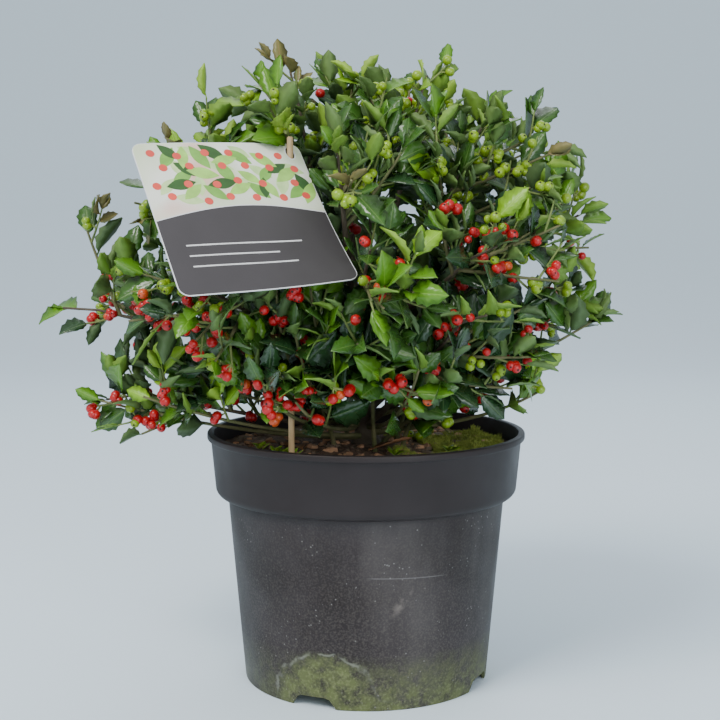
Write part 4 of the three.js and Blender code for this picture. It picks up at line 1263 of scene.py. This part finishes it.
# a place whose third way is square to the second, turned up as far as it can be
def lying(x, y, z, way, size):
    way = Vector(way).normalized()
    return (Vector((x, y, z)), way, (upward - way * way.z).normalized(), size)


# what has dropped on the potting mix, and seedlings at its edge
dropped = [lying(2, -40, 172, (0.95, 0.2, 0.25), 30), lying(-44, -36, 171, (-0.5, 0.8, 0.15), 24),
           lying(-84, -10, 170, (0.7, 0.5, 0.1), 22)]
deadLeaf = mottledFinish("deadLeaf", (0.20, 0.095, 0.040), 0.8, 0.6)
piece = scatterOn("fallenLeaves", dropped, leafShapes, [deadLeaf] * 3)
placed(smooth(piece), ["potting_mix"])
seedlings = []
for x, y in ((-56, -52), (-50, -58), (-62, -46), (-75, -30), (58, -40), (20, -52)):
    for n in range(6):
        way = (math.cos(n * goldenAngle), math.sin(n * goldenAngle), 0.9)
        seedlings.append(lying(x, y, 168.6 + n * 0.8, way, 9 - n * 0.7))
placed(smooth(scatterOn("seedlings", seedlings, leafShapes, leafFinishes["young"])), ["moss"])
windfalls = [lying(30, 22, 171.5, (0.3, -0.9, 0.3), 1), lying(31, 12, 171.4, (0.8, -0.5, 0.25), 1)]
piece = scatterOn("fallenBerries", windfalls, berryShapes, berryFinishes["green"], 1.0)
placed(smooth(piece, 50), ["moss"])
print("potting mix and moss are made")


# the label: a bowed card with printed panels, threaded on a cane
def cardPoint(across, down, lift):
    s = labelSizes
    share, slotShare = across / s["width"] - 0.5, s["slotAcross"] / s["width"] - 0.5
    bow = s["bow"] * 4 * (slotShare * slotShare - share * share)
    # the lower right corner curls forward
    curl = max(0.0, (share + down / s["height"] - s["curlFrom"]) / (1.5 - s["curlFrom"]))
    lift += bow + s["curl"] * curl * curl
    return labelCorner + labelAcross * across + labelDown * down + labelFace * lift


def insideRims(point, rims):
    inside = False
    for rim in rims:
        for (ax, ay), (bx, by) in zip(rim, rim[1:] + rim[:1]):
            if (ay > point[1]) != (by > point[1]):
                if point[0] < ax + (point[1] - ay) / (by - ay) * (bx - ax):
                    inside = not inside
    return inside


# a rim with no side longer than 6 mm, so that it can follow the card's bow
def evenRim(rim):
    dense = []
    for (ax, ay), (bx, by) in zip(rim, rim[1:] + rim[:1]):
        steps = max(1, math.ceil(math.hypot(bx - ax, by - ay) / 6))
        dense += [(ax + (bx - ax) * n / steps, ay + (by - ay) * n / steps) for n in range(steps)]
    return dense


# a thin closed sheet that follows the card, from its rims, some of which may be holes
def cardSheet(name, rims, low, high, material, step=6.0):
    flat, edges, rims = [], [], [evenRim(rim) for rim in rims]
    for rim in rims:
        first = len(flat)
        flat += [Vector(point) for point in rim]
        edges += [(first + n, first + (n + 1) % len(rim)) for n in range(len(rim))]
    steps = int(labelSizes["height"] / step) if step else 0
    for row in range(steps):
        for col in range(steps):
            spot = Vector(((col + 0.5) * step, (row + 0.5) * step))
            if insideRims(spot, rims) and min((spot - point).length for point in flat) > 2.5:
                flat.append(spot)
    spots, _, triangles, *_ = delaunay_2d_cdt(flat, edges, [], 0, 1e-4)
    middles = [sum((spots[k] for k in t), Vector((0, 0))) / 3 for t in triangles]
    triangles = [t for t, middle in zip(triangles, middles) if insideRims(middle, rims)]
    count = len(spots)
    points = [cardPoint(*spot, lift) for lift in (high, low) for spot in spots]
    faces = [tuple(t) for t in triangles] + [tuple(count + k for k in reversed(t)) for t in triangles]
    sides = {(t[k], t[(k + 1) % 3]) for t in triangles for k in range(3)}
    faces += [(b, a, count + a, count + b) for a, b in sorted(sides) if (b, a) not in sides]
    piece = turnedOut(addMesh(name, points, faces))
    return finished(piece, material, 30, ["label_card"])


def roundedRim(left, top, right, bottom, corner):
    rim = arc((right - corner, top + corner), corner, -90, 0, 6)
    rim += arc((right - corner, bottom - corner), corner, 0, 90, 6)
    rim += arc((left + corner, bottom - corner), corner, 90, 180, 6)
    return rim + arc((left + corner, top + corner), corner, 180, 270, 6)


def ovalRim(x, y, halfWidth, halfHeight, steps=20):
    turns = [2 * math.pi * n / steps for n in range(steps)]
    return [(x + halfWidth * math.cos(turn), y + halfHeight * math.sin(turn)) for turn in turns]


# a printed leaf round its middle
def leafRim(x, y, length, width, turn):
    shares = [(n / 8, 1) for n in range(9)] + [(1 - n / 8, -1) for n in range(1, 8)]
    rim, cos, sin = [], math.cos(math.radians(turn)), math.sin(math.radians(turn))
    x, y = x - length / 2 * cos, y - length / 2 * sin
    for share, side in shares:
        along, across = length * share, side * width / 2 * math.sin(math.pi * share)
        rim.append((x + along * cos - across * sin, y + along * sin + across * cos))
    return rim


# the line where the printed panels meet
def panelFoot(share):
    return 62 - 10 * math.sin(math.pi * 0.9 * share)


width, height, margin = (labelSizes[key] for key in ("width", "height", "margin"))
holeAt = (labelSizes["slotAcross"], labelSizes["slotDown"])
slot = ovalRim(*holeAt, labelSizes["slotWidth"] / 2, labelSizes["slotLength"] / 2)
cardRim = roundedRim(0, 0, width, height, labelSizes["corner"])
cardWhite = mottledFinish("cardWhite", (0.70, 0.71, 0.72), 0.4, 0.2, 60, 1.1)
cardSheet("labelCard", [cardRim, slot], -labelSizes["thick"], 0, cardWhite)

# how high each print lies on the card, how deep all are sunk, and their sizes
printSizes = {
    "low": -0.1, "panels": 0.08, "lines": 0.12, "leaves": 0.11, "layer": 0.03, "dots": 0.24,
    "corner": 6, "holeRim": (3.8, 5.8), "gap": 0.8, "leafSlim": 0.42, "clear": 1, "fromHole": 7,
    "dotRadius": 2.9, "lineFrom": 14, "lineThick": 1.1,
}
low, corner = printSizes["low"], printSizes["corner"]
left, top = margin + corner, margin + corner
right, bottom = width - left, height - top
shares = [n / 14 for n in range(15)]
foot = [(margin + (width - 2 * margin) * share, panelFoot(share)) for share in shares]
topPanel = arc((left, top), corner, 180, 270, 6) + arc((right, top), corner, -90, 0, 6) + foot[::-1]
lowPanel = [(x, y + printSizes["gap"]) for x, y in foot]
lowPanel += arc((right, bottom), corner, 0, 90, 6) + arc((left, bottom), corner, 90, 180, 6)
paleInk = Finish("paleInk", (0.56, 0.64, 0.44), 0.35)
paleInk.tint(paleInk.cloud(22.0, 0.42, 0.6, detail=2.0), (0.72, 0.74, 0.66))
paleInk.tint(paleInk.cloud(16.0, 0.56, 0.7, 0.8, 2.0), (0.66, 0.30, 0.24))
darkInk = mottledFinish("darkInk", (0.046, 0.042, 0.045), 0.38, 0.2, 40, 1.5)
holeRim = ovalRim(*holeAt, *printSizes["holeRim"])
cardSheet("labelUpper", [topPanel, holeRim], low, printSizes["panels"], paleInk.material)
cardSheet("labelLower", [lowPanel], low, printSizes["panels"], darkInk)


def onTopPanel(rim):
    away = printSizes["fromHole"]
    return all(insideRims(point, [topPanel]) and math.dist(point, holeAt) > away for point in rim)


# crossing leaves and dots, in layers that don't touch one another
inks = [("pale", (0.42, 0.60, 0.26)), ("mid", (0.15, 0.34, 0.06)), ("dark", (0.030, 0.085, 0.020)),
        ("bright", (0.27, 0.50, 0.10))]
for layer, (ink, color) in enumerate(inks):
    rims = []
    for row in range(4):
        for col in range(4):
            x = 12 + 28 * col + 11 * (row % 2) + 6.5 * layer + lay(-4, 4)
            y, turn = 9 + 13.5 * row + 5 * (layer % 2) + lay(-3, 3), lay(0, 360)
            length = lay(17, 23)
            rim, done = leafRim(x, y, length, length * printSizes["leafSlim"], turn), sum(rims, [])
            free = all(math.dist(point, other) > printSizes["clear"] for point in rim for other in done)
            if free and onTopPanel(rim):
                rims.append(rim)
    high = printSizes["leaves"] + printSizes["layer"] * layer
    cardSheet(f"label{ink.title()}Leaves", rims, low, high, mottledFinish(ink + "Ink", color, 0.35), 0)
dots = []
for row in range(4):
    for col in range(6):
        x, y = 9 + 18.5 * col + 9 * (row % 2) + lay(-3, 3), 9 + 12.5 * row + lay(-2.5, 2.5)
        rim = ovalRim(x, y, printSizes["dotRadius"], printSizes["dotRadius"], 14)
        if onTopPanel(rim):
            dots.append(rim)
dotInk = mottledFinish("dotInk", (0.60, 0.075, 0.055), 0.35, 0.4, 90, 1.6)
cardSheet("labelDots", dots, low, printSizes["dots"], dotInk, 0)
begin, thick = printSizes["lineFrom"], printSizes["lineThick"]
lines = [[(begin, y), (end, y), (end, y + thick), (begin, y + thick)]
         for y, end in ((82, 92), (90, 74), (98, 84))]
lineInk = mottledFinish("lineInk", (0.55, 0.55, 0.55), 0.4)
cardSheet("labelLines", lines, low, printSizes["lines"], lineInk, 0)

cane = Finish("cane", (0.50, 0.34, 0.17), 0.65)
cane.tint(cane.cloud(60.0, 0.42, 0.65, 0.6, 4.0, (6, 6, 0.4)), (0.62, 0.46, 0.26))
cane.tint(cane.cloud(90.0, 0.6, 0.75, 0.6, 4.0, (5, 5, 0.5)), (0.22, 0.13, 0.06))
cane.grain(300.0, 0.0003, 0.6, 3.0, (4, 4, 0.3))
s = stickSizes
profile = [(0, s["foot"])] + [(s["radius"], s["foot"] + 40 * n) for n in range(7)]
profile += arc((s["radius"] - s["round"], s["top"] - s["round"]), s["round"], 0, 80, 5) + [(0, s["top"])]
stick = lathe("labelStick", profile, 20)
stick.data.transform(Matrix.Translation((s["x"] * mm, s["y"] * mm, 0)))
finished(stick, cane.material, 50, ["label_stick"])
print("label is made")

for shape in leafShapes + berryShapes + chipShapes + tuftShapes:
    bpy.data.objects.remove(shape)

# floor, light and camera
stageSizes = {"front": -6, "bend": 2, "round": 2.5, "top": 6, "side": 9}
bend, radius = stageSizes["bend"], stageSizes["round"]
sweep = [(stageSizes["front"], 0.0), (0, 0.0), (bend, 0.0)] + arc((bend, radius), radius, -84, 0, 14)
sweep += [(bend + radius, stageSizes["top"])]
points = [(x, y, z) for y, z in sweep for x in (-stageSizes["side"], stageSizes["side"])]
faces = [(2 * n, 2 * n + 1, 2 * n + 3, 2 * n + 2) for n in range(len(sweep) - 1)]
floor = smooth(addMesh("floor", points, faces, 1.0))
floor.data.materials.append(Finish("paleFloor", (0.67, 0.79, 0.875), 0.85).material)

lights = [
    # name, place, size, strength, colour
    ("keyLight", (-1.0, -1.3, 2.0), 1.0, 56, (1.0, 0.98, 0.95)),
    ("fillLight", (0.8, -1.9, 0.75), 1.2, 22, (0.92, 0.96, 1.0)),
    ("backLight", (0.3, 1.5, 1.8), 1.4, 14, (0.96, 0.98, 1.0)),
]
lightsFace = Vector((0, 0, 0.25))
for name, place, size, strength, color in lights:
    lamp = bpy.data.lights.new(name, "AREA")
    lamp.size, lamp.energy, lamp.color = size, strength, color
    source = bpy.data.objects.new(name, lamp)
    source.location = place
    source.rotation_euler = (lightsFace - source.location).to_track_quat("-Z", "Y").to_euler()
    bpy.context.scene.collection.objects.link(source)

world = bpy.data.worlds.new("softRoom")
world.use_nodes = True
sky = world.node_tree.nodes["Background"]
sky.inputs["Color"].default_value = (0.84, 0.87, 0.90, 1)
sky.inputs["Strength"].default_value = 0.9
bpy.context.scene.world = world

view = {"sensor": 36, "lens": 69.1, "place": (0, -0.996, 0.3355), "down": 6.01, "turn": 0.25}
lens = bpy.data.cameras.new("camera")
lens.sensor_width, lens.lens = view["sensor"], view["lens"]
camera = bpy.data.objects.new("camera", lens)
camera.location = view["place"]
camera.rotation_euler = (math.radians(90 - view["down"]), 0, math.radians(view["turn"]))
bpy.context.scene.collection.objects.link(camera)
bpy.context.scene.camera = camera
print("stage is set")
